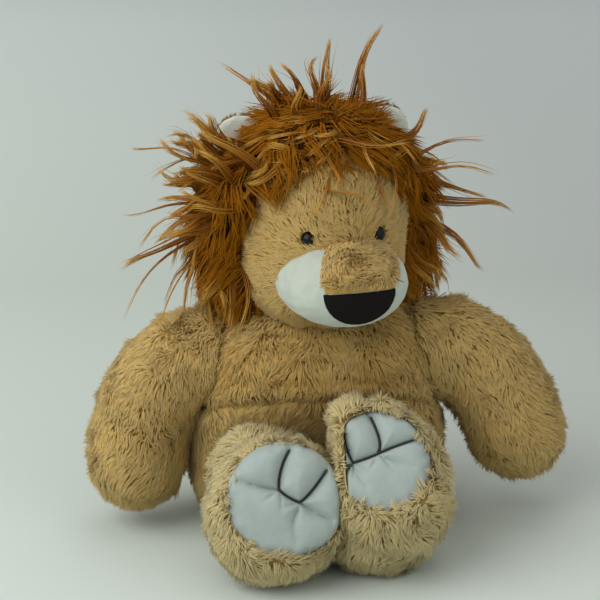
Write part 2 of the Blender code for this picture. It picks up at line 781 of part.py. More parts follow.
def stitch_form(name, side, shares, surface, radius):
    """One run of thread that lies in the grooves of the sole."""
    corners = [on_sole(side, share) for share in shares]
    route = []
    for start, end in zip(corners, corners[1:]):
        count = max(2, round((end - start).length / (QUILT_WIDTH * 1.2)))
        route += [start.lerp(end, step / count) for step in range(count)]
    route.append(corners[-1])
    points = []
    for place in route:
        hit = surface.ray_cast(Vector((place.x, -REACH, place.y)), Vector((0, 1, 0)))[0]
        points.append(hit - Vector((0, THREAD_RADIUS / 2, 0)))
    return tube(name, points, [radius] * len(points), 6, Vector((0, 1, 0.01)))


def thread_form(name, side, surface, grow=0.0):
    """The black thread of one foot: round the middle toe, and along a tuck where it is threaded."""
    made = stitch_form(name, side, TOE_GAP_SHARES[side], surface, THREAD_RADIUS + grow)
    tuck = THREADED_TUCK[side]
    if tuck is not None:
        stitch = stitch_form("tuck_stitch", side, TUCK_SHARES[side][tuck], surface, THREAD_RADIUS + grow)
        united(made, stitch, solver="MANIFOLD")
    return made


def make_leg(side, pile, velvet, thread, fibre):
    """One leg's cover, quilted sole, toe thread and filling, on the hip's empty."""
    empty = seam_empty("hip_seam_" + side, hip(side))
    to_seam = Matrix.Translation(-hip(side))
    frame = sole_frame(side)
    facing = Matrix.Rotation(math.pi / 2, 4, "X")
    wide, tall = SOLE_HALF_WIDTH[side], SOLE_HALF_HEIGHT[side]
    opening = ((-SOLE_EDGE - CLEAR, wide), (FOOT_HALF_DEPTH + OVERRUN, wide))

    cover = cut(leg_form("cover", side), leg_form("hollow", side, SKIN))
    hole = round_form("opening", (0, 0, 0), (0, 0, 1), opening, SOLE_SIDES, 1.0, tall / wide)
    cut(cover, cut(moved(hole, frame @ facing), foot_seam(side, SKIN + CLEAR)))
    floor = box("floor", (-REACH, -REACH, -REACH), (REACH, REACH, 0))
    cut(cover, floor, keep=True)

    filling = leg_form("filling", side, SKIN + LOOSE)
    face = beyond((0, 0, 0), (0, -1, 0), -SOLE_EDGE - CLEAR)
    cut(filling, moved(face, frame))
    cut(filling, floor)

    sole = sole_form("sole", side)
    surface = BVHTree.FromObject(sole, bpy.context.evaluated_depsgraph_get())
    stitches = thread_form("stitches", side, surface)
    cut(sole, thread_form("groove", side, surface, CLEAR), solver="MANIFOLD")
    for made in (sole, stitches):
        cut(moved(made, frame), foot_seam(side, SKIN + 2 * CLEAR), solver="MANIFOLD")
    pieces = ((cover, "leg_cover_", pile), (filling, "leg_filling_", fibre),
              (sole, "sole_", velvet), (stitches, "toe_thread_", thread))
    for made, name, finish in pieces:
        finished(moved(made, to_seam), name + side, finish, empty)


def head_form(name, inset=0.0, down=0.0):
    """The head's outline, or the same drawn in by an inset."""
    size = (HEAD_HEIGHT - inset, HEAD_HALF_WIDTH, HEAD_FRONT, HEAD_BACK)
    least = (inset + SKIN) / HEAD_BACK
    shares = [(height, *(max(share, least) for share in spans)) for height, *spans in HEAD_SHARES]
    return upright_form(name, shares, size, -HEAD_FORWARD, HEAD_ROUNDNESS_SHARE, HEAD_SIDES, inset, down=down)


def muzzle_form(name, inset=0.0):
    """The muzzle, a blunt egg that points along -Y."""
    rings = []
    for step in range(MUZZLE_RINGS + 1):
        angle = math.pi / 2 * min(step / MUZZLE_RINGS, 0.97)
        out = MUZZLE_OUT + math.sin(angle) * (MUZZLE_LENGTH - inset)
        swell = math.cos(angle) ** MUZZLE_BLUNT_SHARE
        rings.append((out, swell))
    rings.insert(0, (MUZZLE_OUT - MUZZLE_LENGTH, 1.0))
    sections = []
    for out, swell in rings:
        section = []
        for step in range(MUZZLE_SIDES):
            turn = 2 * math.pi * step / MUZZLE_SIDES
            high = MUZZLE_ABOVE if math.sin(turn) > 0 else MUZZLE_BELOW
            x = math.cos(turn) * (MUZZLE_HALF_WIDTH - inset) * swell
            z = MUZZLE_UP + math.sin(turn) * (high - inset) * swell
            section.append(Vector((x, -out, z)))
        sections.append(section)
    return loft(name, sections)


def prism(name, outline, near, far):
    """A block along Y from an outline of (x, z) points."""
    rings = [[Vector((x, y, z)) for x, z in outline] for y in (near, far)]
    return loft(name, rings)


def nose_outline(grow=0.0):
    """A half disc with its flat side up."""
    points = []
    for step in range(NOSE_SIDES + 1):
        angle = math.pi + math.pi * step / NOSE_SIDES
        x = math.cos(angle) * (NOSE_HALF_WIDTH + grow)
        points.append((x, NOSE_TOP + math.sin(angle) * (NOSE_HEIGHT + grow)))
    return [(-NOSE_HALF_WIDTH - grow, NOSE_TOP + grow)] + points + [(NOSE_HALF_WIDTH + grow, NOSE_TOP + grow)]


def bridge_region(name, grow=0.0):
    """The space over the tan strip on top of the muzzle, which widens towards the face."""
    low, high = NOSE_TOP + CLEAR - grow, NOSE_TOP + REACH
    rings = []
    far = -MUZZLE_OUT - MUZZLE_LENGTH - OVERRUN
    for y, half in ((far, BRIDGE_HALF_WIDTH_AT_NOSE), (-MUZZLE_OUT, BRIDGE_HALF_WIDTH_AT_FACE),
                    (0, BRIDGE_HALF_WIDTH_AT_FACE)):
        wide = half + grow
        corners = ((-wide, y, low), (wide, y, low), (wide, y, high), (-wide, y, high))
        rings.append([Vector(corner) for corner in corners])
    return loft(name, rings)


def eye_frame(sign, surface):
    """An eye's place on the face and its frame, with Z out of the face."""
    start = Vector((sign * EYE_OUT, -REACH, EYE_UP))
    hit, normal, _, _ = surface.ray_cast(start, Vector((0, 1, 0)))
    turn = Vector((0, 0, 1)).rotation_difference(normal).to_matrix().to_4x4()
    return Matrix.Translation(hit) @ turn


def eye_form(name, frame):
    """A domed button with a shank behind it."""
    dome = [(math.sin(angle) * EYE_HEIGHT, math.cos(angle) * EYE_RADIUS)
            for angle in (math.pi / 2 * share for share in (0.0, 0.24, 0.48, 0.72, 0.93))]
    profile = [(-SHANK_LENGTH, SHANK_RADIUS), (CLEAR, SHANK_RADIUS)]
    profile += [(CLEAR + along, radius) for along, radius in dome]
    return moved(round_form(name, (0, 0, 0), (0, 0, 1), profile, EYE_SIDES), frame)


def washer_form(name, frame, hole, grow=0.0, out=0.0):
    """The washer that locks an eye inside the face, or the pocket for it."""
    top = -WASHER_DEPTH
    low = top - WASHER_THICKNESS - grow
    radius = WASHER_RADIUS + grow
    made = round_form(name, (0, 0, 0), (0, 0, 1), ((low, radius), (top + out, radius)), EYE_SIDES)
    if hole:
        bore = SHANK_RADIUS + CLEAR
        profile = ((low - OVERRUN, bore), (top + OVERRUN, bore))
        cut(made, round_form("bore", (0, 0, 0), (0, 0, 1), profile, EYE_SIDES))
    return moved(made, frame)


def ear_matrix(sign):
    """An ear's frame: X along the root seam, Y to the back, Z out of the head."""
    turn = Matrix.Rotation(sign * EAR_ANGLE, 4, "Y")
    centre = Matrix.Translation((0, EAR_BACK, EAR_CENTRE_UP))
    return centre @ turn @ Matrix.Translation((0, 0, EAR_DISTANCE))


def ear_form(name):
    """A flat round ear in its own frame."""
    rings = []
    for height, width, thickness in EAR_SHARES:
        ring = []
        for step in range(EAR_SIDES):
            turn = 2 * math.pi * (step + 0.5) / EAR_SIDES
            ring.append(Vector((math.cos(turn) * EAR_HALF_WIDTH * width,
                                math.sin(turn) * EAR_HALF_THICKNESS * thickness,
                                EAR_HEIGHT * height)))
        rings.append(ring)
    return loft(name, rings)


def ear_pocket(sign):
    """The room that an ear needs as it swings, a fan that opens away from the root seam."""
    wide = EAR_HALF_WIDTH + CLEAR
    rings = []
    for up in (-SWING, 0.0, EAR_HEIGHT, EAR_HEIGHT + REACH):
        deep = EAR_HALF_THICKNESS + SWING + max(up, 0.0) * math.tan(EAR_SWING)
        corners = ((-wide, -deep), (wide, -deep), (wide, deep), (-wide, deep))
        rings.append([Vector((x, y, up)) for x, y in corners])
    return moved(loft("pocket", rings), ear_matrix(sign))


def lock_form(name, surface, around, backwards, left, back, up):
    """One tapered lock of the mane, from inside the mane's outline along a sagging bow to its tip."""
    turn, lean = math.radians(around), math.radians(backwards)
    level = math.cos(lean)
    heading = Vector((math.sin(turn) * level, math.sin(lean), math.cos(turn) * level))
    hit, normal, _, _ = surface.ray_cast(Vector((0, 0, LOCK_ANCHOR_UP)), heading)
    tip = Vector((left * MANE_HALF_WIDTH, back * MANE_BACK, up * MANE_HEIGHT))
    root = hit - normal * LOCK_SINK
    bend = hit.lerp(tip, 0.5) + normal * LOCK_DROOP
    points, radii = [], []
    for step in range(LOCK_RINGS):
        way = step / (LOCK_RINGS - 1)
        points.append(root.lerp(bend, way).lerp(bend.lerp(tip, way), way))
        radii.append(LOCK_RADIUS + (LOCK_TIP_RADIUS - LOCK_RADIUS) * way ** 0.8)
    along = (tip - root).normalized()
    side = Vector((0, 1, 0)) if abs(along.y) < 0.8 else Vector((0, 0, 1))
    return tube(name, points, radii, LOCK_SIDES, side)


def make_mane(pile, empty, hairline, pockets):
    """The four long-pile panels that frame the face, each with its main locks."""
    size = (MANE_HEIGHT, MANE_HALF_WIDTH, MANE_FRONT, MANE_BACK)
    outline = upright_form("outline", MANE_SHARES, size, 0, HEAD_ROUNDNESS_SHARE, MANE_SIDES, floor=MANE_LIFT)
    surface = BVHTree.FromObject(outline, bpy.context.evaluated_depsgraph_get())
    core = head_form("core", SKIN, OVERRUN)
    floor = beyond((0, 0, MANE_LIFT), (0, 0, -1))
    cut(outline, core, hairline, *pockets, keep=True, solver="MANIFOLD")
    gap = CLEAR / 2
    crown, nape = CROWN_SEAM_SHARE * MANE_HEIGHT, NAPE_SEAM_SHARE * MANE_BACK
    regions = {
        "mane_crown": ((-REACH, -REACH, crown + gap), (REACH, REACH, REACH)),
        "mane_right": ((-REACH, -REACH, -REACH), (0, nape - gap, crown - gap)),
        "mane_left": ((0, -REACH, -REACH), (REACH, nape - gap, crown - gap)),
        "mane_nape": ((-REACH, nape + gap, -REACH), (REACH, REACH, crown - gap)),
    }
    for name, (low, high) in regions.items():
        panel = combined(copied(outline, name), box("room", low, high), "INTERSECT", solver="MANIFOLD")
        for lock in LOCK_SHARES[name]:
            strand = lock_form("lock", surface, *lock)
            cut(strand, core, floor, *pockets, keep=True, solver="MANIFOLD")
            united(panel, strand, solver="MANIFOLD")
        finished(panel, name, pile, empty)
    dropped(outline, core, floor)


def make_head(finishes):
    """The face, muzzle, nose, eyes, mane and filling, on the neck's empty."""
    pile, velvet, nose_cloth, shag, gloss, fibre = finishes
    empty = seam_empty("neck_seam", (0, 0, BODY_HEIGHT + CLEAR), Matrix.Rotation(HEAD_TURN, 4, "Z"))
    surface = BVHTree.FromObject(head_form("guide"), bpy.context.evaluated_depsgraph_get())
    dropped(bpy.data.objects["guide"])
    place = (0, -HAIRLINE_FORWARD, HAIRLINE_UP)
    forward = Vector((0, -math.cos(HAIRLINE_LEAN), -math.sin(HAIRLINE_LEAN)))
    in_front = beyond(place, forward, -CLEAR / 2)
    behind = beyond(place, -forward, -CLEAR / 2)
    pockets = [ear_pocket(sign) for sign in SIDES.values()]
    make_mane(shag, empty, in_front, pockets)
    dropped(in_front)

    face = cut(head_form("face"), head_form("hollow", SKIN, OVERRUN))
    cut(face, behind, *pockets, keep=True)
    filling = head_form("filling", SKIN + LOOSE)
    cut(filling, *pockets)
    dropped(behind)
    for side, sign in SIDES.items():
        frame = eye_frame(sign, surface)
        eye = eye_form("eye", frame)
        stem = ((-SHANK_LENGTH - SWING, SHANK_RADIUS + CLEAR), (OVERRUN, SHANK_RADIUS + CLEAR))
        shaft = moved(round_form("stem", (0, 0, 0), (0, 0, 1), stem, EYE_SIDES), frame)
        cut(face, shaft, keep=True)
        cut(filling, washer_form("pocket", frame, False, CLEAR, OVERRUN), shaft)
        finished(eye, "eye_" + side, gloss, empty)
        finished(washer_form("washer", frame, True), "eye_washer_" + side, gloss, empty)
    finished(face, "face_panel", pile, empty)
    finished(filling, "head_filling", fibre, empty)

    core = head_form("core", -CLEAR, OVERRUN)
    muzzle = cut(muzzle_form("muzzle"), muzzle_form("hollow", MUZZLE_SKIN))
    cut(muzzle, core, keep=True)
    near, far = -MUZZLE_OUT - OVERRUN, -MUZZLE_OUT - MUZZLE_LENGTH - OVERRUN
    nose = cut(muzzle_form("nose", -NOSE_PROUD), muzzle_form("hollow", MUZZLE_SKIN))
    combined(nose, prism("nose_region", nose_outline(), near, far), "INTERSECT")
    bridge = within(muzzle, bridge_region("bridge_region"), "bridge")
    cut(muzzle, bridge_region("bridge_room", CLEAR), prism("nose_room", nose_outline(CLEAR), near, far))
    wad = cut(muzzle_form("wad", MUZZLE_SKIN + LOOSE), core)
    finished(muzzle, "muzzle_panel", velvet, empty)
    finished(bridge, "bridge_panel", pile, empty)
    finished(nose, "nose", nose_cloth, empty)
    finished(wad, "muzzle_filling", fibre, empty)
    return empty


def make_ear(side, velvet, pile, head):
    """One ear's white front and tan back, on the ear's empty."""
    sign = SIDES[side]
    empty = seam_empty("ear_seam_" + side, (0, 0, 0), ear_matrix(sign))
    empty.parent = head
    for name, finish, normal in (("ear_front_", velvet, (0, 1, 0)), ("ear_back_", pile, (0, -1, 0))):
        made = cut(ear_form("leaf"), beyond((0, 0, 0), normal, -CLEAR / 2))
        finished(made, name + side, finish, empty)


def make_tail(pile, shag):
    """The tail's tube and the tuft on its end, on the tail seam's empty."""
    root = tail_root()
    empty = seam_empty("tail_seam", root)
    route = [Vector((left, back, up)) * TAIL_LENGTH for back, left, up in TAIL_SHARES]
    tail = seam_ball("tail", (0, 0, 0), TAIL_ROOT_RADIUS, (0, 0, -1), TAIL_FLAT, TAIL_SIDES, TAIL_RINGS)
    united(tail, tube("tube", route, [TAIL_RADIUS] * len(route), TAIL_SIDES, Vector((0, 0, 1))))
    heading = (route[-1] - route[-2]).normalized()
    heading.z = 0
    start = route[-1] + heading * CLEAR
    profile = [(along * TUFT_LENGTH, radius * TUFT_RADIUS) for along, radius in TUFT_SHARES]
    tuft = round_form("tuft", start, heading, profile, TAIL_SIDES)
    end = (route[-1] - route[-2]).normalized()
    cut(tuft, beyond(route[-1], -end, -CLEAR))
    finished(tail, "tail_tube", pile, empty)
    finished(tuft, "tail_tuft", shag, empty)


def main():
    for old in list(bpy.data.objects):
        bpy.data.objects.remove(old)
    pile = material("tan_short_pile", "#C7A873", 0.9, 0.4)
    foot_pile = material("pale_tan_short_pile", "#CFBC8C", 0.9, 0.4)
    shag = material("rust_long_pile", "#A8691C", 0.7, 0.3)
    velvet = material("white_velboa", "#DDE4DC", 0.85, 0.3)
    sole_velvet = material("cool_white_velboa", "#C8D4D8", 0.85, 0.3)
    nose_cloth = material("dark_brown_velboa", "#2B1D1A", 0.8, 0.2)
    gloss = material("black_gloss_plastic", "#0C0C0D", 0.12)
    thread = material("black_thread", "#1E2424", 0.7)
    fibre = material("white_fibre_filling", "#ECEBE6", 1.0)
    cloth = material("pellet_bag_cloth", "#D9D6CC", 0.9)
    make_body(pile, fibre, cloth)
    for side in SIDES:
        make_arm(side, pile, fibre)
        make_leg(side, foot_pile, sole_velvet, thread, fibre)
    head = make_head((pile, velvet, nose_cloth, shag, gloss, fibre))
    for side in SIDES:
        make_ear(side, velvet, pile, head)
    make_tail(pile, shag)


main()
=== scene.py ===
"""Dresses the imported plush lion: stuffed fabric forms, pile, quilted soles, a long-haired mane and the stage."""

import math

import bmesh
import bpy
import numpy as np
from bpy.props import FloatProperty, FloatVectorProperty, IntProperty, PointerProperty
from mathutils import Matrix, Vector
from mathutils.bvhtree import BVHTree
from mathutils.kdtree import KDTree


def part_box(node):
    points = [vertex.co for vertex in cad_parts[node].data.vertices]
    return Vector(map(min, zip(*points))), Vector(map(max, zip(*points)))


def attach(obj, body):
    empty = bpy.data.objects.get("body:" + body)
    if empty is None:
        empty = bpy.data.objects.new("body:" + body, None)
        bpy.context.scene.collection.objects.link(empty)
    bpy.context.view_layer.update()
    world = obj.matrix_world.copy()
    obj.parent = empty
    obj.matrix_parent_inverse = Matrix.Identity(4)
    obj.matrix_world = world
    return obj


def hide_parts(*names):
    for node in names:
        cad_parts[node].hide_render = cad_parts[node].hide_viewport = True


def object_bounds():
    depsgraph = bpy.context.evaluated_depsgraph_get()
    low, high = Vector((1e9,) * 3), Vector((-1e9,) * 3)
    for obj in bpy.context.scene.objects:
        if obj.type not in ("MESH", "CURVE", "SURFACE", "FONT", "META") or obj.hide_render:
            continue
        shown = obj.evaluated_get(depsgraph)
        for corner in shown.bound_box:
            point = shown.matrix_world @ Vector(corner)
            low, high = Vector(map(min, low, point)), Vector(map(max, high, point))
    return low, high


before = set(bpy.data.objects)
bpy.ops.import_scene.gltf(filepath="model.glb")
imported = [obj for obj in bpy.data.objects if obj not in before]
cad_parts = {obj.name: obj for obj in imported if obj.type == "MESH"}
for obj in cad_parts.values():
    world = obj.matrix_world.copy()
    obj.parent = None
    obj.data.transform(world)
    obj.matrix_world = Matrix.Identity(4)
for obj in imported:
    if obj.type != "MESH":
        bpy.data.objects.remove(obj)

bl_info = {
    "name": "Plush lion",
    "version": (1, 0, 0),
    "blender": (4, 5, 0),
    "location": "View3D > Sidebar > Plush lion",
    "description": "Dresses the frame of a seated plush lion with stuffed forms, pile fabric and a mane",
    "category": "Object",
}

CAD_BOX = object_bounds()
MM = 0.001


def linear(hex_colour):
    """The linear value of an sRGB hex colour."""
    channels = [int(hex_colour[start:start + 2], 16) / 255 for start in (1, 3, 5)]
    return tuple(c / 12.92 if c <= 0.04045 else ((c + 0.055) / 1.055) ** 2.4 for c in channels)


def colour_prop(name, description, hex_colour):
    return FloatVectorProperty(name=name, description=description, subtype="COLOR", size=3,
                               min=0, max=1, default=linear(hex_colour))


def length_prop(name, description, default):
    return FloatProperty(name=name, description=description, subtype="DISTANCE", unit="LENGTH",
                         min=0, default=default)


class PileSettings(bpy.types.PropertyGroup):
    """Sizes and colours of the short pile on the body, limbs, face and tail."""

    length: length_prop("Length", "Length of one tuft of pile", 9.5 * MM)
    face_length: length_prop("Face length", "Length of the clipped pile on the face", 6.5 * MM)
    width: length_prop("Width", "Half the width of one tuft at its middle", 0.50 * MM)
    clump: length_prop("Clump", "Spacing of the clumps that the tufts gather in", 4.4 * MM)
    density: FloatProperty(name="Density", description="Tufts on a square millimetre", min=0.1, default=0.93)
    root: colour_prop("Root", "Colour in the depth of the pile", "#C8A262")
    middle: colour_prop("Middle", "Colour half way up the pile", "#CDAB68")
    tip: colour_prop("Tip", "Colour of the pile's tips", "#DAC189")
    foot_root: colour_prop("Foot root", "Colour in the depth of the feet's pile", "#C2A66E")
    foot_middle: colour_prop("Foot middle", "Colour half way up the feet's pile", "#D0BC88")
    foot_tip: colour_prop("Foot tip", "Colour of the feet's tips", "#DDD1A6")


class ManeSettings(bpy.types.PropertyGroup):
    """Sizes and colours of the long-haired mane."""

    width: length_prop("Width", "Half the width of one strand at its root", 0.42 * MM)
    length: length_prop("Length", "Length of the mane's hair at the sides", 84 * MM)
    locks: IntProperty(name="Locks", description="Locks besides the main ones", min=10, default=330)
    root: colour_prop("Root", "Colour of the hair at its root", "#5A2B03")
    middle: colour_prop("Middle", "Colour half way along the hair", "#A86A10")
    tip: colour_prop("Tip", "Colour of the hair's tips", "#E4B454")


class ClothSettings(bpy.types.PropertyGroup):
    """Sizes and colours of the smooth fabrics, the thread and the eyes."""

    muzzle: colour_prop("Muzzle", "Colour of the white muzzle", "#C0C8BC")
    # The soles' colour is their cool white cloth, greyed as painted shade for the shade they lie in.
    sole: colour_prop("Sole", "Colour of the soles", "#A9B5B0")
    nose: colour_prop("Nose", "Colour of the nose patch", "#0B0605")
    ear: colour_prop("Ear", "Colour of the ears' fronts", "#D8DDD0")
    thread: colour_prop("Thread", "Colour of the toe thread", "#1B2222")
    eye: colour_prop("Eye", "Colour of the eyes", "#0B0B0C")
    thread_radius: length_prop("Thread radius", "Half the thickness of the toe thread", 0.62 * MM)


class StageSettings(bpy.types.PropertyGroup):
    """The floor's colours near the toy, behind it and far back, on the window's side and away from it: painted
    light and shade on one pale paper.
    """

    floor: colour_prop("Floor", "Colour of the floor on the window's side", "#D4DFD8")
    floor_painted_shade: colour_prop("Floor away", "Colour of the floor on the other side", "#CAD0C9")
    middle: colour_prop("Middle", "Colour of the floor behind the toy on the window's side", "#C8D2C8")
    middle_painted_shade: colour_prop("Middle away", "Colour of the floor behind the toy on the other side", "#B4B9B5")
    backdrop: colour_prop("Backdrop", "Colour of the floor far back on the window's side", "#E2ECE7")
    backdrop_painted_shade: colour_prop("Backdrop away", "Colour of the floor far back on the other side", "#CED4D3")


# Materials

def add_node(tree, kind, settings=None, links=None):
    """Adds a node, sets its properties or sockets, and links what feeds its sockets."""
    node = tree.nodes.new(kind)
    for key, value in (settings or {}).items():
        if isinstance(key, int) or key in node.inputs:
            node.inputs[key].default_value = value
        else:
            setattr(node, key, value)
    for key, source in (links or {}).items():
        tree.links.new(source, node.inputs[key])
    return node


def stops_of(ramp, stops):
    """Gives a colour ramp its (place, linear colour) stops."""
    elements = ramp.color_ramp.elements
    while len(elements) < len(stops):
        elements.new(0.5)
    for element, (place, colour) in zip(elements, stops):
        element.position = place
        element.color = (*colour, 1)
    return ramp


def new_material(name):
    """A material with a Principled shader, and its node tree and shader."""
    made = bpy.data.materials.new(name)
    made.use_nodes = True
    tree = made.node_tree
    return made, tree, tree.nodes["Principled BSDF"]


def pile_material(name, root, middle, tip, roughness, sheen, gloss):
    """Acrylic pile: dark and matt in its depth, paler at the tips, each tuft of its own shade.

    The UV map runs from root to tip along U, and V holds the tuft's shade, so the colour is the same
    wherever a tuft lies.
    """
    made, tree, shader = new_material(name)
    uv = add_node(tree, "ShaderNodeUVMap", {"uv_map": "OFBake"})
    split = add_node(tree, "ShaderNodeSeparateXYZ", links={0: uv.outputs[0]})
    along = add_node(tree, "ShaderNodeValToRGB", links={0: split.outputs[0]})
    stops_of(along, [(0.0, root), (0.5, middle), (1.0, tip)])
    shade = add_node(tree, "ShaderNodeValToRGB", links={0: split.outputs[1]})
    stops_of(shade, [(0.0, (0.72, 0.63, 0.47)), (0.5, (0.90, 0.87, 0.80)), (1.0, (1.0, 1.0, 1.0))])
    mixed = add_node(tree, "ShaderNodeMix", {"data_type": "RGBA", "blend_type": "MULTIPLY", 0: 1.0},
                     {6: along.outputs[0], 7: shade.outputs[0]})
    tree.links.new(mixed.outputs[2], shader.inputs["Base Color"])
    shader.inputs["Roughness"].default_value = roughness
    shader.inputs["Specular IOR Level"].default_value = gloss
    shader.inputs["Sheen Weight"].default_value = sheen
    shader.inputs["Sheen Roughness"].default_value = 0.5
    return made


def backing_material(name, dark, pale):
    """Dense underfur over a knitted backing: fine fibres about 1.2 mm apart that lie every way."""
    made, tree, shader = new_material(name)
    place = add_node(tree, "ShaderNodeTexCoord")
    fibres = add_node(tree, "ShaderNodeTexNoise", {"Scale": 820.0, "Detail": 3.0, "Roughness": 0.6},
                      {"Vector": place.outputs["Object"]})
    patches = add_node(tree, "ShaderNodeTexNoise", {"Scale": 90.0, "Detail": 2.0},
                       {"Vector": place.outputs["Object"]})
    both = add_node(tree, "ShaderNodeMath", {"operation": "MULTIPLY"},
                    {0: fibres.outputs[0], 1: patches.outputs[0]})
    ramp = add_node(tree, "ShaderNodeValToRGB", links={0: both.outputs[0]})
    stops_of(ramp, [(0.12, dark), (0.42, pale)])
    tree.links.new(ramp.outputs[0], shader.inputs["Base Color"])
    bump = add_node(tree, "ShaderNodeBump", {"Strength": 0.7, "Distance": 0.8 * MM},
                    {"Height": fibres.outputs[0]})
    tree.links.new(bump.outputs[0], shader.inputs["Normal"])
    shader.inputs["Roughness"].default_value = 0.95
    shader.inputs["Specular IOR Level"].default_value = 0.2
    return made


def velboa_material(name, colour, grain=1.0, sheen=0.25):
    """Velboa: a knitted fabric with a brushed nap under 1 mm, soft and slightly mottled, with no gloss."""
    made, tree, shader = new_material(name)
    place = add_node(tree, "ShaderNodeTexCoord")
    nap = add_node(tree, "ShaderNodeTexNoise", {"Scale": 1500.0 / grain, "Detail": 3.0, "Roughness": 0.65},
                   {"Vector": place.outputs["Object"]})
    mottle = add_node(tree, "ShaderNodeTexNoise", {"Scale": 70.0, "Detail": 4.0, "Roughness": 0.6},
                      {"Vector": place.outputs["Object"]})
    shade = add_node(tree, "ShaderNodeMix", {"data_type": "FLOAT", 0: 0.35},
                     {2: mottle.outputs[0], 3: nap.outputs[0]})
    ramp = add_node(tree, "ShaderNodeValToRGB", links={0: shade.outputs[0]})
    darker = tuple(value * 0.80 for value in colour)
    stops_of(ramp, [(0.28, darker), (0.66, colour)])
    tree.links.new(ramp.outputs[0], shader.inputs["Base Color"])
    bump = add_node(tree, "ShaderNodeBump", {"Strength": 0.45, "Distance": 0.35 * MM},
                    {"Height": nap.outputs[0]})
    tree.links.new(bump.outputs[0], shader.inputs["Normal"])
    shader.inputs["Roughness"].default_value = 0.88
    shader.inputs["Specular IOR Level"].default_value = 0.25
    shader.inputs["Sheen Weight"].default_value = sheen
    return made


def thread_material(name, colour):
    """Twisted polyester thread: dark, slightly shiny, with a ply turn about every 0.9 mm."""
    made, tree, shader = new_material(name)
    place = add_node(tree, "ShaderNodeTexCoord")
    ply = add_node(tree, "ShaderNodeTexWave", {"Scale": 350.0, "Distortion": 2.0},
                   {"Vector": place.outputs["Object"]})
    ramp = add_node(tree, "ShaderNodeValToRGB", links={0: ply.outputs[0]})
    stops_of(ramp, [(0.0, tuple(value * 0.5 for value in colour)), (1.0, colour)])
    tree.links.new(ramp.outputs[0], shader.inputs["Base Color"])
    bump = add_node(tree, "ShaderNodeBump", {"Strength": 0.5, "Distance": 0.2 * MM},
                    {"Height": ply.outputs[0]})
    tree.links.new(bump.outputs[0], shader.inputs["Normal"])
    shader.inputs["Roughness"].default_value = 0.55
    return made


def eye_material(name, colour):
    """Polished black acrylic: nearly black, with a clear highlight and faint scuffs in its gloss."""
    made, tree, shader = new_material(name)
    place = add_node(tree, "ShaderNodeTexCoord")
    scuff = add_node(tree, "ShaderNodeTexNoise", {"Scale": 900.0, "Detail": 2.0},
                     {"Vector": place.outputs["Object"]})
    ramp = add_node(tree, "ShaderNodeMapRange", {"To Min": 0.10, "To Max": 0.18},
                    {"Value": scuff.outputs[0]})
    tree.links.new(ramp.outputs[0], shader.inputs["Roughness"])
    shader.inputs["Base Color"].default_value = (*colour, 1)
    shader.inputs["IOR"].default_value = 1.49
    shader.inputs["Specular IOR Level"].default_value = 0.22
    return made


def fibre_material(name, colour, scale=260.0):
    """Hollow polyester fibre: white, springy wadding whose curled fibres catch the light."""
    made, tree, shader = new_material(name)
    place = add_node(tree, "ShaderNodeTexCoord")
    curl = add_node(tree, "ShaderNodeTexNoise", {"Scale": scale, "Detail": 5.0, "Distortion": 1.4},
                    {"Vector": place.outputs["Object"]})
    ramp = add_node(tree, "ShaderNodeValToRGB", links={0: curl.outputs[0]})
    stops_of(ramp, [(0.3, tuple(value * 0.72 for value in colour)), (0.6, colour)])
    tree.links.new(ramp.outputs[0], shader.inputs["Base Color"])
    bump = add_node(tree, "ShaderNodeBump", {"Strength": 0.8, "Distance": 1.0 * MM},
                    {"Height": curl.outputs[0]})
    tree.links.new(bump.outputs[0], shader.inputs["Normal"])
    shader.inputs["Roughness"].default_value = 1.0
    return made


def dress(piece, material):
    """Gives a piece one material."""
    piece.data.materials.clear()
    piece.data.materials.append(material)
    return piece


# Stuffed forms

def alone(piece):
    """Makes a piece the only one selected."""
    bpy.ops.object.select_all(action="DESELECT")
    piece.select_set(True)
    bpy.context.view_layer.objects.active = piece
    return piece


def modified(piece, kind, **settings):
    """Adds a modifier to a piece and applies it."""
    alone(piece)
    bpy.ops.object.modifier_add(type=kind)
    change = piece.modifiers[-1]
    for key, value in settings.items():
        setattr(change, key, value)
    bpy.ops.object.modifier_apply(modifier=change.name)
    return piece


def merged_copy(name, node):
    """A node's shape as one connected mesh of its own."""
    made = bpy.data.objects.new(name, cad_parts[node].data.copy())
    bpy.context.scene.collection.objects.link(made)
    work = bmesh.new()
    work.from_mesh(made.data)
    bmesh.ops.remove_doubles(work, verts=work.verts, dist=0.01 * MM)
    bmesh.ops.recalc_face_normals(work, faces=work.faces)
    work.to_mesh(made.data)
    work.free()
    return made


def voxels(piece, size):
    """Meshes a piece anew with even faces."""
    alone(piece)
    piece.data.remesh_voxel_size = size
    bpy.ops.object.voxel_remesh()
    return piece


def stuffed(name, nodes, size, inset, rounds=6, closing=0.55 * MM):
    """One closed form round a group of nodes, drawn in by an inset and smoothed as stuffed cloth is."""
    copies = []
    for node in nodes:
        copies.append(modified(merged_copy(name, node), "DISPLACE", strength=closing, mid_level=0))
    bpy.ops.object.select_all(action="DESELECT")
    for copy in copies:
        copy.select_set(True)
    bpy.context.view_layer.objects.active = copies[0]
    if len(copies) > 1:
        bpy.ops.object.join()
    made = bpy.context.view_layer.objects.active
    made.name = made.data.name = name
    voxels(made, size)
    largest_shell(made)
    modified(made, "SMOOTH", factor=0.5, iterations=rounds)
    modified(made, "DISPLACE", strength=-inset - closing, mid_level=0)
    made.data.shade_smooth()
    return made


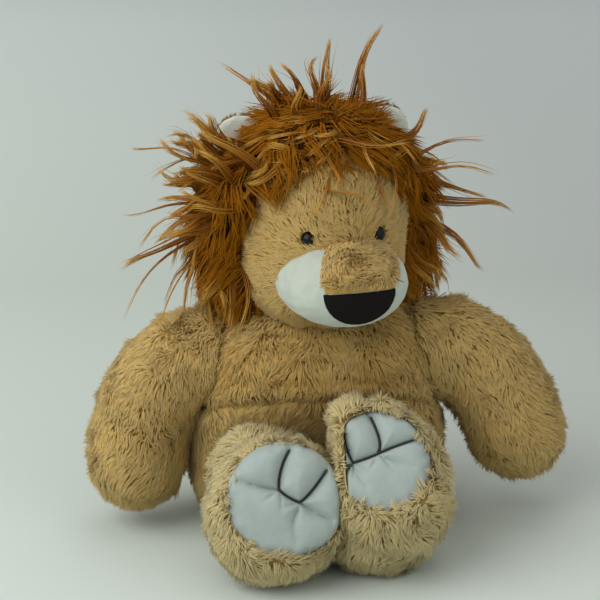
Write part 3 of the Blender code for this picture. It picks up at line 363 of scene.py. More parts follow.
def largest_shell(piece):
    """Keeps a piece's outer skin only."""
    work = bmesh.new()
    work.from_mesh(piece.data)
    left = set(work.verts)
    shells = []
    while left:
        start = left.pop()
        shell, edge = {start}, [start]
        while edge:
            for link in edge.pop().link_edges:
                for vert in link.verts:
                    if vert in left:
                        left.remove(vert)
                        shell.add(vert)
                        edge.append(vert)
        shells.append(shell)
    shells.sort(key=len, reverse=True)
    spare = [vert for shell in shells[1:] for vert in shell]
    bmesh.ops.delete(work, geom=spare, context="VERTS")
    work.to_mesh(piece.data)
    work.free()
    return piece


# Hair

def new_piece(name, points, triangles, uv=None, normals=None):
    """A mesh object from arrays, smooth all over, with the given shading normals if any."""
    mesh = bpy.data.meshes.new(name)
    mesh.vertices.add(len(points))
    mesh.vertices.foreach_set("co", np.ascontiguousarray(points, np.float32).ravel())
    mesh.loops.add(triangles.size)
    mesh.loops.foreach_set("vertex_index", np.ascontiguousarray(triangles, np.int32).ravel())
    mesh.polygons.add(len(triangles))
    mesh.polygons.foreach_set("loop_start", np.arange(0, triangles.size, 3, dtype=np.int32))
    mesh.update(calc_edges=True)
    if uv is not None:
        layer = mesh.uv_layers.new(name="OFBake")
        layer.data.foreach_set("uv", np.ascontiguousarray(uv, np.float32).ravel())
    mesh.shade_smooth()
    if normals is not None:
        mesh.normals_split_custom_set_from_vertices(normals)
    made = bpy.data.objects.new(name, mesh)
    bpy.context.scene.collection.objects.link(made)
    return made


def unit(vectors):
    """Each row at length one."""
    return vectors / np.maximum(np.linalg.norm(vectors, axis=-1, keepdims=True), 1e-9)


def mesh_array(mesh, name):
    """The places or the normals of a mesh's points, a row each."""
    values = np.empty(len(mesh.vertices) * 3, np.float32)
    mesh.vertices.foreach_get(name, values)
    return values.reshape(-1, 3)


def move_points(mesh, points):
    """Gives a mesh's points new places."""
    mesh.vertices.foreach_set("co", np.ascontiguousarray(points, np.float32).ravel())
    mesh.update()


def skin_of(piece):
    """The corner points and corner normals of a piece's triangles."""
    mesh = piece.data
    mesh.calc_loop_triangles()
    corners = np.empty(len(mesh.loop_triangles) * 3, np.int32)
    mesh.loop_triangles.foreach_get("vertices", corners)
    corners = corners.reshape(-1, 3)
    return mesh_array(mesh, "co")[corners], mesh_array(mesh, "normal")[corners]


def scattered(piece, density, rng):
    """Places and normals all over a piece, a number to the square millimetre."""
    points, normals = skin_of(piece)
    areas = np.linalg.norm(np.cross(points[:, 1] - points[:, 0], points[:, 2] - points[:, 0]), axis=1) / 2
    count = int(areas.sum() / MM ** 2 * density)
    chosen = rng.choice(len(areas), count, p=areas / areas.sum())
    a, b = rng.random(count), rng.random(count)
    over = a + b > 1
    a[over], b[over] = 1 - a[over], 1 - b[over]
    weights = np.stack([1 - a - b, a, b], axis=1)[:, :, None]
    return (points[chosen] * weights).sum(axis=1), unit((normals[chosen] * weights).sum(axis=1))


def drift(points, size, seed):
    """A smooth random vector at each point that changes over about the given size."""
    rng = np.random.default_rng(seed)
    total = np.zeros((len(points), 3))
    for _ in range(5):
        wave = rng.normal(size=3)
        wave *= 2 * math.pi / (np.linalg.norm(wave) * size * rng.uniform(0.8, 2.2))
        total += np.sin(points @ wave + rng.uniform(0, 6.28))[:, None] * rng.normal(size=3)
    return total / 2.2


def strand_template(count):
    """The faces and UV steps of one three-sided strand that starts and ends in a point."""
    tip = (count - 2) * 3 + 1
    faces, steps = [], []
    for side in range(3):
        after = (side + 1) % 3
        faces += [(1 + side, 0, 1 + after), (tip - 3 + side, tip - 3 + after, tip)]
        steps += [((1, side), (0, side + 0.5), (1, side + 1)),
                  ((count - 2, side), (count - 2, side + 1), (count - 1, side + 0.5))]
        for ring in range(count - 3):
            low, high = ring * 3 + 1, ring * 3 + 4
            faces += [(low + side, low + after, high + after), (low + side, high + after, high + side)]
            steps += [((ring + 1, side), (ring + 1, side + 1), (ring + 2, side + 1)),
                      ((ring + 1, side), (ring + 2, side + 1), (ring + 2, side))]
    return np.array(faces), np.array(steps, float)


def strands(name, spines, widths, shades, skin=None, lean=0.92):
    """One piece of many three-sided strands, each pointed at both ends.

    spines holds each strand's points from root to tip, widths its half width at each point between
    them, and shades its place between the darkest and the palest, from 0 to 1. skin holds the normal of
    the cloth under each strand, which its shading leans towards, as in a pile that scatters light.
    """
    amount, count, _ = spines.shape
    tangents = np.empty_like(spines)
    tangents[:, 1:-1] = spines[:, 2:] - spines[:, :-2]
    tangents[:, 0], tangents[:, -1] = spines[:, 1] - spines[:, 0], spines[:, -1] - spines[:, -2]
    tangents = unit(tangents)
    reference = unit(np.random.default_rng(amount).normal(size=(amount, 1, 3)))
    across = unit(np.cross(tangents, reference))
    upward = np.cross(tangents, across)
    rings, facing = [], []
    for side in range(3):
        angle = 2 * math.pi * side / 3
        out = across[:, 1:-1] * math.cos(angle) + upward[:, 1:-1] * math.sin(angle)
        rings.append(spines[:, 1:-1] + out * widths[:, :, None])
        facing.append(out)
    body = np.stack(rings, axis=2).reshape(amount, -1, 3)
    normals = None
    if skin is not None:
        facing = np.stack(facing, axis=2).reshape(amount, -1, 3) * (1 - lean) + skin[:, None] * lean
        ends = unit(skin[:, None] + tangents[:, -1:] * 0.3)
        normals = unit(np.concatenate([skin[:, None], facing, ends], axis=1)).reshape(-1, 3)
    points = np.concatenate([spines[:, :1], body, spines[:, -1:]], axis=1)
    faces, steps = strand_template(count)
    starts = np.arange(amount)[:, None, None] * points.shape[1]
    triangles = (faces[None] + starts).reshape(-1, 3)
    uv = np.empty((amount, *steps.shape))
    uv[..., 0] = 0.02 + 0.96 * steps[None, ..., 0] / (count - 1)
    uv[..., 1] = 0.01 + 0.95 * shades[:, None, None] + 0.03 * steps[None, ..., 1] / 3
    points[..., 2] = np.maximum(points[..., 2], 0.4 * MM)
    low, high = CAD_BOX
    room = [0.02 * (b - a) + 8 * MM for a, b in zip(low, high)]
    for axis in range(3):
        points[..., axis] = np.clip(points[..., axis], low[axis] - room[axis], high[axis] + room[axis])
    return new_piece(name, points.reshape(-1, 3), triangles, uv.reshape(-1, 2), normals)


def depth_in(tree, points):
    """How deep each point lies inside a closed form, less than zero outside."""
    depths = np.empty(len(points))
    way = Vector((0.31, -0.22, 0.925)).normalized()
    for index, point in enumerate(points):
        start = Vector(point)
        place, normal, _, distance = tree.find_nearest(start)
        inside = (start - place).dot(normal) < 0
        if inside and distance > MM / 2:
            crossed = 0
            hit = tree.ray_cast(start, way)[0]
            while hit is not None:
                crossed += 1
                hit = tree.ray_cast(hit + way * MM / 50, way)[0]
            inside = crossed % 2 == 1
        depths[index] = distance if inside else -distance
    return depths


def clump_targets(points, spacing, rng):
    """For each point, the index of the point that its clump gathers on."""
    cells = {}
    order = rng.permutation(len(points))
    leaders = []
    for index in order:
        cell = tuple((points[index] // spacing).astype(int))
        if cell not in cells:
            cells[cell] = index
            leaders.append(index)
    tree = KDTree(len(leaders))
    for slot, index in enumerate(leaders):
        tree.insert(Vector(points[index]), slot)
    tree.balance()
    return np.array([leaders[tree.find(Vector(point))[1]] for point in points])


def pile(name, piece, material, body, comb, length, seed, keep=None, lift=0.52, density=None, clump=None,
         shade=0.6, width=None, gather=0.27, relief_and_painted_light=None, rests=True):
    """A coat of short pile on a form, combed by a field of directions and gathered in small clumps.

    keep picks the places that carry pile, relief gives each place's share of the length and a change of colour
    that paints light and shade on the pile, and rests leaves the side that the form rests on bare.
    """
    settings = bpy.context.scene.lion_pile
    rng = np.random.default_rng(seed)
    points, normals = scattered(piece, density or settings.density, rng)
    wanted = np.ones(len(points), bool)
    if rests:
        wanted = (points[:, 2] > 1.5 * MM) & ~((normals[:, 2] < -0.75) & (points[:, 2] < 6 * MM))
    if keep is not None:
        wanted &= keep(points, normals)
    points, normals = points[wanted], normals[wanted]
    way = comb(points, normals) if callable(comb) else np.broadcast_to(np.array(comb, float), points.shape)
    way = way - normals * (way * normals).sum(axis=1, keepdims=True)
    way = unit(way) + drift(points, 26 * MM, seed + 1) * 0.55 + drift(points, 9 * MM, seed + 2) * 0.40
    way -= normals * (way * normals).sum(axis=1, keepdims=True)
    lifts = lift + 0.18 * drift(points, 14 * MM, seed + 3)[:, :1]
    heading = unit(normals * lifts + way * 0.75 + rng.normal(size=points.shape) * 0.13)
    lengths = length * (1 + 0.14 * drift(points, 18 * MM, seed + 4)[:, :1])
    lengths = lengths * rng.uniform(0.72, 1.12, (len(points), 1))
    painted_light = 0.0
    if relief_and_painted_light is not None:
        scale, painted_light = relief_and_painted_light(points)
        lengths *= scale[:, None]
    roots = points - normals * 0.8 * MM
    tips = points + heading * lengths
    bends = points + (normals * 0.62 + heading * 0.38) * lengths * 0.42
    leader = clump_targets(points, clump or settings.clump, rng)
    pull = gather * rng.uniform(0.5, 1.2, (len(points), 1))
    tips += (tips[leader] - tips) * pull
    bends += (bends[leader] - bends) * pull * 0.35
    spines = np.stack([roots, bends, tips], axis=1)
    half = (width or settings.width) * rng.uniform(0.7, 1.25, (len(points), 1))
    shades = np.clip(shade + painted_light + 0.10 * drift(points, 30 * MM, seed + 5)[:, 0]
                     + rng.normal(size=len(points)) * 0.06 + (rng.random(len(leader))[leader] - 0.5) * 0.14, 0, 1)
    made = dress(strands(name, spines, half, shades, normals), material)
    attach(made, body)
    return made


def bvh(piece):
    """A tree for finding the nearest place on a piece."""
    return BVHTree.FromObject(piece, bpy.context.evaluated_depsgraph_get())


def clear_of(*trees, deep=7 * MM):
    """Keeps what isn't deep inside a neighbouring form."""
    def keep(points, normals):
        wanted = np.ones(len(points), bool)
        for tree in trees:
            wanted &= depth_in(tree, points) < deep
        return wanted
    return keep


# Body

BODY_NODES = ("chest_panel", "belly_panel", "back_panel_right", "back_panel_left", "seat_panel", "belly_hem")
forms = {}
finishes = {}


def tan_pile():
    """The materials of the tan pile, the feet's paler pile and their backings, made once."""
    settings = bpy.context.scene.lion_pile
    if "tan" not in finishes:
        finishes["tan"] = pile_material("tan_acrylic_pile", settings.root, settings.middle, settings.tip,
                                        0.92, 0.06, 0.06)
        finishes["tan_backing"] = backing_material("tan_underfur", linear("#AC8646"), linear("#CBA865"))
        finishes["foot"] = pile_material("pale_tan_acrylic_pile", settings.foot_root, settings.foot_middle,
                                         settings.foot_tip, 0.92, 0.06, 0.06)
        finishes["foot_backing"] = backing_material("pale_tan_underfur", linear("#B09460"), linear("#CDB987"))
    return finishes


class LION_OT_torso(bpy.types.Operator):
    """Adds the stuffed body with its folded belly hem and its coat of pile"""

    bl_idname = "lion.torso"
    bl_label = "Body"

    def execute(self, context):
        settings = context.scene.lion_pile
        looks = tan_pile()
        nodes = BODY_NODES + ("body_filling", "pellet_bag")
        form = dress(stuffed("torso_form", nodes, 3.0 * MM, 1.5 * MM, 4), looks["tan_backing"])
        fold_hem(form)
        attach(form, "torso")
        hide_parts(*nodes)
        forms["torso"] = form

        def comb(points, normals):
            outward = points * (1, 1, 0)
            return unit(outward) * 0.25 + np.array((0, 0, -1.0))

        quarter = {
            "chest_pile": lambda p, n: (p[:, 1] < 0) & (p[:, 2] > hem_line(p)),
            "belly_pile": lambda p, n: (p[:, 1] < 0) & (p[:, 2] <= hem_line(p)),
            "back_pile_right": lambda p, n: (p[:, 1] >= 0) & (p[:, 0] < 0),
            "back_pile_left": lambda p, n: (p[:, 1] >= 0) & (p[:, 0] >= 0),
        }

        # The hem's ridge and the crease under it carry shorter pile. The second value paints a highlight on the
        # ridge and a shade in the crease. It also paints all the pile above the hem line darker, for the shade
        # under the head.
        def relief_and_painted_light(points):
            above = (points[:, 2] - hem_line(points)) / MM
            near = np.exp(-((above - 2.0) / 2.6) ** 2) * (points[:, 1] < -8 * MM)
            below = np.exp(-((above + 3.0) / 2.2) ** 2) * (points[:, 1] < -8 * MM)
            return 1 - 0.45 * near - 0.30 * below, 0.25 * near - 0.36 * below - 0.40 * (above > 0)

        for index, (name, keep) in enumerate(quarter.items()):
            pile(name, form, looks["tan"], "torso", comb, settings.length, 10 + index * 10, keep,
                 relief_and_painted_light=relief_and_painted_light)
        return {"FINISHED"}


# The belly's folded hem: its height where it crosses the belly's middle, how far forward that is, its slope.
HEM_HEIGHT = 0.1115
HEM_FORWARD = 0.064
HEM_SLOPE = 26.5


def hem_line(points):
    """The height of the belly's folded hem at each point."""
    return HEM_HEIGHT - (points[:, 1] + HEM_FORWARD) * math.tan(math.radians(HEM_SLOPE))


def fold_hem(form):
    """Lifts the hem across the belly's front into a soft ridge over a crease."""
    points, normals = mesh_array(form.data, "co"), mesh_array(form.data, "normal")
    above = (points[:, 2] - hem_line(points)) / MM
    front = np.clip((-8 * MM - points[:, 1]) / (12 * MM), 0, 1)
    moved = 2.4 * np.exp(-((above - 2.0) / 3.2) ** 2) - 1.4 * np.exp(-((above + 3.5) / 2.6) ** 2)
    move_points(form.data, points + normals * (front * moved * MM)[:, None])


class LION_OT_arms(bpy.types.Operator):
    """Adds the two stuffed arms and their pile"""

    bl_idname = "lion.arms"
    bl_label = "Arms"

    def execute(self, context):
        settings = context.scene.lion_pile
        looks = tan_pile()
        for index, side in enumerate(("right", "left")):
            nodes = ("arm_cover_" + side, "arm_filling_" + side)
            form = dress(stuffed("arm_form_" + side, nodes, 2.8 * MM, 1.5 * MM, 5), looks["tan_backing"])
            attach(form, "arm_" + side)
            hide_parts(*nodes)
            sign = 1 if side == "left" else -1
            comb = (sign * 0.45, -0.1, -1.0)
            keep = clear_of(bvh(forms["torso"]), deep=9 * MM)
            pile("arm_pile_" + side, form, looks["tan"], "arm_" + side, comb, settings.length,
                 60 + index * 10, keep)
        return {"FINISHED"}


# Feet: each foot's middle, its backward tilt and its roll. A sole's own frame has X across the foot, -Y the
# way the sole faces and Z towards the toes, and its seam lies in its plane of Y at zero.
FEET = {
    "right": ((-36.0 * MM, -112.0 * MM, 48.5 * MM), 17.0, 27.0),
    "left": ((32.5 * MM, -103.7 * MM, 66.2 * MM), 33.0, -27.0),
}
SOLE_FORWARD = 20.5 * MM
SOLE_LEAN = 9.0
SOLE_TOWARDS_TOES = {"right": 9.0 * MM, "left": 6.0 * MM}
SOLE_HALF = {"right": (34.0 * MM, 33.5 * MM), "left": (29.0 * MM, 32.0 * MM)}
SOLE_BULGE = 13.0 * MM
SOLE_BACK = 3.0 * MM
SOLE_LAP = 3.4 * MM  # how far the sole reaches in under the pile round it
SOLE_FACE = {"right": 3.0 * MM, "left": 7.75 * MM}  # where the other foot presses it flat
# The runs of stitches round the middle toe, then those beside it. Each is a curve through three points, in
# shares of the sole's half width and half height.
TOE_LINES = {
    "right": (((-0.33, 0.90), (-0.32, 0.49), (-0.20, 0.13)), ((-0.20, 0.13), (0.03, 0.08), (0.25, 0.08)),
              ((0.25, 0.08), (0.37, 0.39), (0.46, 0.86))),
    "left": (((-0.47, 0.88), (-0.52, 0.57), (-0.55, 0.23)), ((-0.55, 0.23), (-0.25, 0.17), (0.02, 0.14)),
             ((0.02, 0.14), (0.22, 0.37), (0.32, 0.88))),
}
TUCK_LINES = {
    "right": (((-0.20, 0.13), (-0.55, 0.03), (-0.97, -0.04)), ((0.25, 0.08), (0.62, 0.04), (0.97, 0.04))),
    "left": (((-0.55, 0.23), (-0.75, 0.18), (-0.96, 0.12)), ((0.02, 0.14), (0.45, 0.10), (0.92, 0.02))),
}
PAD_CREASES = {
    "right": (((0.27, 0.04), (0.29, -0.31), (0.49, -0.60)),),
    "left": (((-0.60, 0.17), (-0.61, -0.08), (-0.57, -0.34)), ((0.03, 0.08), (0.26, -0.20), (0.54, -0.46))),
}
THREADED_TUCK = {"right": None, "left": 1}


def sole_frame(side):
    """The frame of a sole, at the middle of its seam's plane."""
    place, tilt, roll = FEET[side]
    turn = Matrix.Rotation(-math.radians(tilt), 4, "X") @ Matrix.Rotation(math.radians(roll), 4, "Y")
    shift = Matrix.Translation((0, -SOLE_FORWARD, SOLE_TOWARDS_TOES[side]))
    return Matrix.Translation(place) @ turn @ shift @ Matrix.Rotation(-math.radians(SOLE_LEAN), 4, "X")


def stitch_route(side, run, count=13):
    """Places along one run of stitches, in the sole's frame."""
    start, middle, end = (np.array(point) * SOLE_HALF[side] for point in run)
    way = np.linspace(0, 1, count)[:, None]
    bend = 2 * middle - (start + end) / 2
    return (1 - way) ** 2 * start + 2 * way * (1 - way) * bend + way ** 2 * end


def to_line(side, x, z, run):
    """Each point's distance to a run of stitches on the sole, and its way along the run from 0 to 1."""
    route = stitch_route(side, run, 9)
    nearest, along = np.full(x.shape, 1.0), np.zeros(x.shape)
    for index, ((ax, az), (bx, bz)) in enumerate(zip(route, route[1:])):
        dx, dz = bx - ax, bz - az
        way = np.clip(((x - ax) * dx + (z - az) * dz) / (dx * dx + dz * dz), 0, 1)
        distance = np.hypot(x - ax - way * dx, z - az - way * dz)
        along = np.where(distance < nearest, (index + way) / (len(route) - 1), along)
        nearest = np.minimum(nearest, distance)
    return nearest, along


def sole_height(side, x, z):
    """How far the sole stands out: three toes and a pad, puffed up between the seams that draw them in."""
    wide, tall = SOLE_HALF[side]
    share = np.hypot(x / wide, z / tall)
    rim = np.maximum(0, 1 + SOLE_LAP / wide - share) * wide
    slope = np.clip(0.80 + 0.42 * z / tall, 0.40, 1.05)
    swell = SOLE_BULGE * (1 - np.exp(-rim / (3.8 * MM))) * (1 - 0.20 * share ** 2) * slope
    drawn = np.zeros(x.shape)
    for run in TOE_LINES[side]:
        distance, _ = to_line(side, x, z, run)
        drawn = np.maximum(drawn, 0.97 * np.exp(-(distance / (3.6 * MM)) ** 0.80))
    for run in TUCK_LINES[side]:
        distance, way = to_line(side, x, z, run)
        drawn = np.maximum(drawn, (0.97 - 0.05 * way) * np.exp(-(distance / (3.4 * MM)) ** 0.80))
    for run in PAD_CREASES[side]:
        distance, way = to_line(side, x, z, run)
        drawn = np.maximum(drawn, (0.66 - 0.34 * way) * np.exp(-(distance / (3.2 * MM)) ** 0.90))
    for index, run in enumerate(TOE_LINES[side][:2]):
        dx, dz = x - run[-1][0] * wide, z - run[-1][1] * tall
        radius, turn = np.hypot(dx, dz), np.arctan2(dz, dx)
        creases = np.maximum(0, np.cos(turn * 6 + index * 2.1)) ** 3
        drawn += 0.16 * creases * np.exp(-((radius - 6 * MM) / (6 * MM)) ** 2) * np.clip(-dz / (3 * MM), 0, 1)
    slack = np.sin(x / (5.1 * MM) + 1.3) * np.sin(z / (6.3 * MM) + 0.4) * 0.30 * MM
    pucker = np.sin(np.arctan2(z, x) * 19) * np.exp(-((rim - 3 * MM) / (3 * MM)) ** 2) * 0.45 * MM
    return swell * (1 - np.minimum(drawn, 0.97)) + (slack + pucker) * np.minimum(1, rim / (4 * MM))


def pressed(side, points):
    """World points of a sole, with the edge that meets the other foot pressed flat."""
    sign = 1 if side == "right" else -1
    soft = 1.2 * MM
    room = (SOLE_FACE[side] - points[:, 0]) * sign
    points[:, 0] = SOLE_FACE[side] - sign * soft * np.logaddexp(0, room / soft)
    return points


def sole_piece(name, side):
    """The quilted sole as a closed pad."""
    rings, sides = 46, 138
    wide, tall = SOLE_HALF[side]
    shares = np.sin(np.linspace(0, math.pi / 2, rings + 1)[1:] * 0.97) / math.sin(math.pi / 2 * 0.97)
    turns = np.arange(sides) * 2 * math.pi / sides
    x = np.append(0, (shares[:, None] * np.cos(turns) * (wide + SOLE_LAP)).ravel())
    z = np.append(0, (shares[:, None] * np.sin(turns) * (tall + SOLE_LAP)).ravel())
    front = np.stack([x, -sole_height(side, x, z), z], axis=1)
    back = front[-sides:] * (1, 0, 1) + np.array((0, SOLE_BACK, 0))
    points = np.concatenate([front, back, [[0, SOLE_BACK, 0]]])
    faces = []
    base = 1 + rings * sides
    for step in range(sides):
        after = (step + 1) % sides
        faces.append((0, 1 + step, 1 + after))
        for ring in range(rings):
            low, high = 1 + ring * sides, 1 + (ring + 1) * sides
            faces += [(low + step, high + step, high + after), (low + step, high + after, low + after)]
        faces.append((base + step, len(points) - 1, base + after))
    matrix = np.array(sole_frame(side))
    made = new_piece(name, pressed(side, points @ matrix[:3, :3].T + matrix[:3, 3]), np.array(faces))
    alone(made)
    bpy.ops.object.mode_set(mode="EDIT")
    bpy.ops.mesh.select_all(action="SELECT")
    bpy.ops.mesh.normals_make_consistent(inside=False)
    bpy.ops.object.mode_set(mode="OBJECT")
    return made


def thread_piece(name, side, radius):
    """The dark thread that ties off the middle toe, lying in its grooves."""
    first, bottom, last = (stitch_route(side, run) for run in TOE_LINES[side])
    routes = [np.concatenate([first, bottom[1:], last[1:]])]
    if THREADED_TUCK[side] is not None:
        routes.append(stitch_route(side, TUCK_LINES[side][THREADED_TUCK[side]]))
    matrix = np.array(sole_frame(side))
    made = []
    for route in routes:
        heights = sole_height(side, route[:, 0], route[:, 1])
        places = np.stack([route[:, 0], -heights - radius * 5.2, route[:, 1]], axis=1)
        curve = bpy.data.curves.new(name, "CURVE")
        curve.dimensions = "3D"
        curve.bevel_depth = radius
        curve.bevel_resolution = 3
        curve.use_fill_caps = True
        line = curve.splines.new("POLY")
        line.points.add(len(route) - 1)
        for point, place in zip(line.points, pressed(side, places @ matrix[:3, :3].T + matrix[:3, 3])):
            point.co = (*place, 1)
        thread = bpy.data.objects.new(name, curve)
        bpy.context.scene.collection.objects.link(thread)
        alone(thread)
        bpy.ops.object.convert(target="MESH")
        made.append(bpy.context.view_layer.objects.active)
    bpy.ops.object.select_all(action="DESELECT")
    for thread in made:
        thread.select_set(True)
    bpy.context.view_layer.objects.active = made[0]
    if len(made) > 1:
        bpy.ops.object.join()
    whole = bpy.context.view_layer.objects.active
    whole.name = whole.data.name = name
    whole.data.shade_smooth()
    return whole


def pinch_toes(form, side):
    """Draws the foot's rim in at the two toe gaps, as the thread does that ties off the toes.

    The right foot lies in front, so its rim also swells a little over the left one's.
    """
    frame_of = np.array(sole_frame(side))
    back = np.linalg.inv(frame_of)
    points = mesh_array(form.data, "co").astype(float)
    local = points @ back[:3, :3].T + back[:3, 3]
    radius = np.hypot(local[:, 0], local[:, 2])
    wide, tall = SOLE_HALF[side]
    share = np.hypot(local[:, 0] / wide, local[:, 2] / tall)
    outside = np.clip((share - 1.10) / 0.20, 0, 1)
    room = np.minimum(6.0 * MM, np.maximum(0, share - 1.10) * wide)[:, None]
    for place in (TOE_LINES[side][0][0], TOE_LINES[side][2][2]):
        turn = math.atan2(place[1], place[0])
        away = np.arctan2(local[:, 2], local[:, 0]) - turn
        away = (away + math.pi) % (2 * math.pi) - math.pi
        near = np.exp(-(away * radius / (4.6 * MM)) ** 2)
        near *= outside * np.clip((30 * MM - local[:, 1]) / (18 * MM), 0, 1)
        inward = -local * (1, 0, 1) / np.maximum(radius, 1e-6)[:, None]
        local += (inward * room + np.array((0, 3.0 * MM, 0))) * near[:, None]
        plump = np.exp(-((np.abs(away) * radius - 11 * MM) / (7 * MM)) ** 2)
        plump *= outside * np.clip((26 * MM - local[:, 1]) / (18 * MM), 0, 1)
        local -= inward * 2.2 * MM * plump[:, None]
    points = local @ frame_of[:3, :3].T + frame_of[:3, 3]
    if side == "right":
        over = np.clip((points[:, 0] + 10 * MM) / (12 * MM), 0, 1)
        over *= np.clip((10 * MM - local[:, 1]) / (14 * MM), 0, 1)
        points[:, 0] += 7.0 * MM * over * np.clip((points[:, 2] - 12 * MM) / (20 * MM), 0, 1)
    move_points(form.data, points)


class LION_OT_legs(bpy.types.Operator):
    """Adds the two stuffed legs, whose pile rises round the soles"""

    bl_idname = "lion.legs"
    bl_label = "Legs"

    def execute(self, context):
        settings = context.scene.lion_pile
        looks = tan_pile()
        for index, side in enumerate(("right", "left")):
            nodes = ("leg_cover_" + side, "leg_filling_" + side)
            form = dress(stuffed("leg_form_" + side, nodes, 2.6 * MM, 1.0 * MM, 4), looks["foot_backing"])
            pinch_toes(form, side)
            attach(form, "leg_" + side)
            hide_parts(*nodes)
            back = np.array(sole_frame(side).inverted())
            out = np.array(sole_frame(side))[:3, :3]
            tree = bvh(forms["torso"])

            def local(points):
                return points @ back[:3, :3].T + back[:3, 3]

            def rim_share(inside):
                wide, tall = SOLE_HALF[side]
                return np.hypot(inside[:, 0] / wide, inside[:, 2] / tall)

            def keep(points, normals):
                inside = local(points)
                shown = -sole_height(side, inside[:, 0], inside[:, 2]) - 0.5 * MM
                under = (rim_share(inside) < 0.98) & (inside[:, 1] < 12 * MM) & (inside[:, 1] > shown)
                sign = 1 if side == "left" else -1
                beyond = (points[:, 0] - SOLE_FACE[side]) * sign
                under &= beyond > 1.5 * MM
                radial = unit(inside * (1, 0, 1)) @ out.T
                walls = (rim_share(inside) < 1.12) & (inside[:, 1] < 12 * MM)
                under |= walls & ((normals * radial).sum(axis=1) < -0.45)
                pressed_wall = (np.abs(beyond) < 3 * MM) & (normals[:, 0] * sign > 0.35)
                under |= pressed_wall & (rim_share(inside) < 1.1)
                return ~under & (depth_in(tree, points) < 9 * MM)

            def comb(points, normals):
                inside = local(points)
                radial = unit(inside * (1, 0, 1)) @ out.T
                near = np.clip((1.32 - rim_share(inside)) / 0.24, 0, 1)[:, None] * (inside[:, 1:2] < 12 * MM)
                way = radial * (0.75 - 1.55 * near) + np.array((0, 0.10, -0.45))
                return way + drift(points, 22 * MM, 77) * 0.3

            pile("leg_pile_" + side, form, looks["foot"], "leg_" + side, comb, settings.length, 90 + index * 10,
                 keep, lift=0.60, shade=0.62, rests=False)
        return {"FINISHED"}


class LION_OT_soles(bpy.types.Operator):
    """Adds the quilted soles and the thread that draws their toes in"""

    bl_idname = "lion.soles"
    bl_label = "Soles"

    def execute(self, context):
        settings = context.scene.lion_cloth
        velboa = velboa_material("cool_white_velboa", settings.sole)
        thread = thread_material("black_polyester_thread", settings.thread)
        for side in ("right", "left"):
            sole = dress(sole_piece("quilted_sole_" + side, side), velboa)
            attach(sole, "leg_" + side)
            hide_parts("sole_" + side)
            line = dress(thread_piece("toe_stitching_" + side, side, settings.thread_radius), thread)
            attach(line, "leg_" + side)
            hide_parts("toe_thread_" + side)
        return {"FINISHED"}


# Head: its own frame stands on the neck seam, turned to the lion's left.
HEAD_FRAME = Matrix.Translation((0, 0, 150.3 * MM)) @ Matrix.Rotation(math.radians(12), 4, "Z")
HAIRLINE_LEVELS = (0.0, 60.0, 75.0, 92.0, 104.0, 113.0, 125.0)
HAIRLINE_FORWARD = (7.0, 9.0, 16.0, 31.0, 42.0, 47.0, 40.0)


def in_head(points):
    """World points in the head's frame."""
    back = np.array(HEAD_FRAME.inverted())
    return points @ back[:3, :3].T + back[:3, 3]


def from_head(vectors):
    """Directions of the head's frame in the world's."""
    return vectors @ np.array(HEAD_FRAME)[:3, :3].T


def ahead_of_hairline(local):
    """How far a point in the head's frame lies in front of the line where the mane starts."""
    return -local[:, 1] - np.interp(local[:, 2] / MM, HAIRLINE_LEVELS, HAIRLINE_FORWARD) * MM


def middle_of(node):
    low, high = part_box(node)
    return (np.array(low) + np.array(high)) / 2


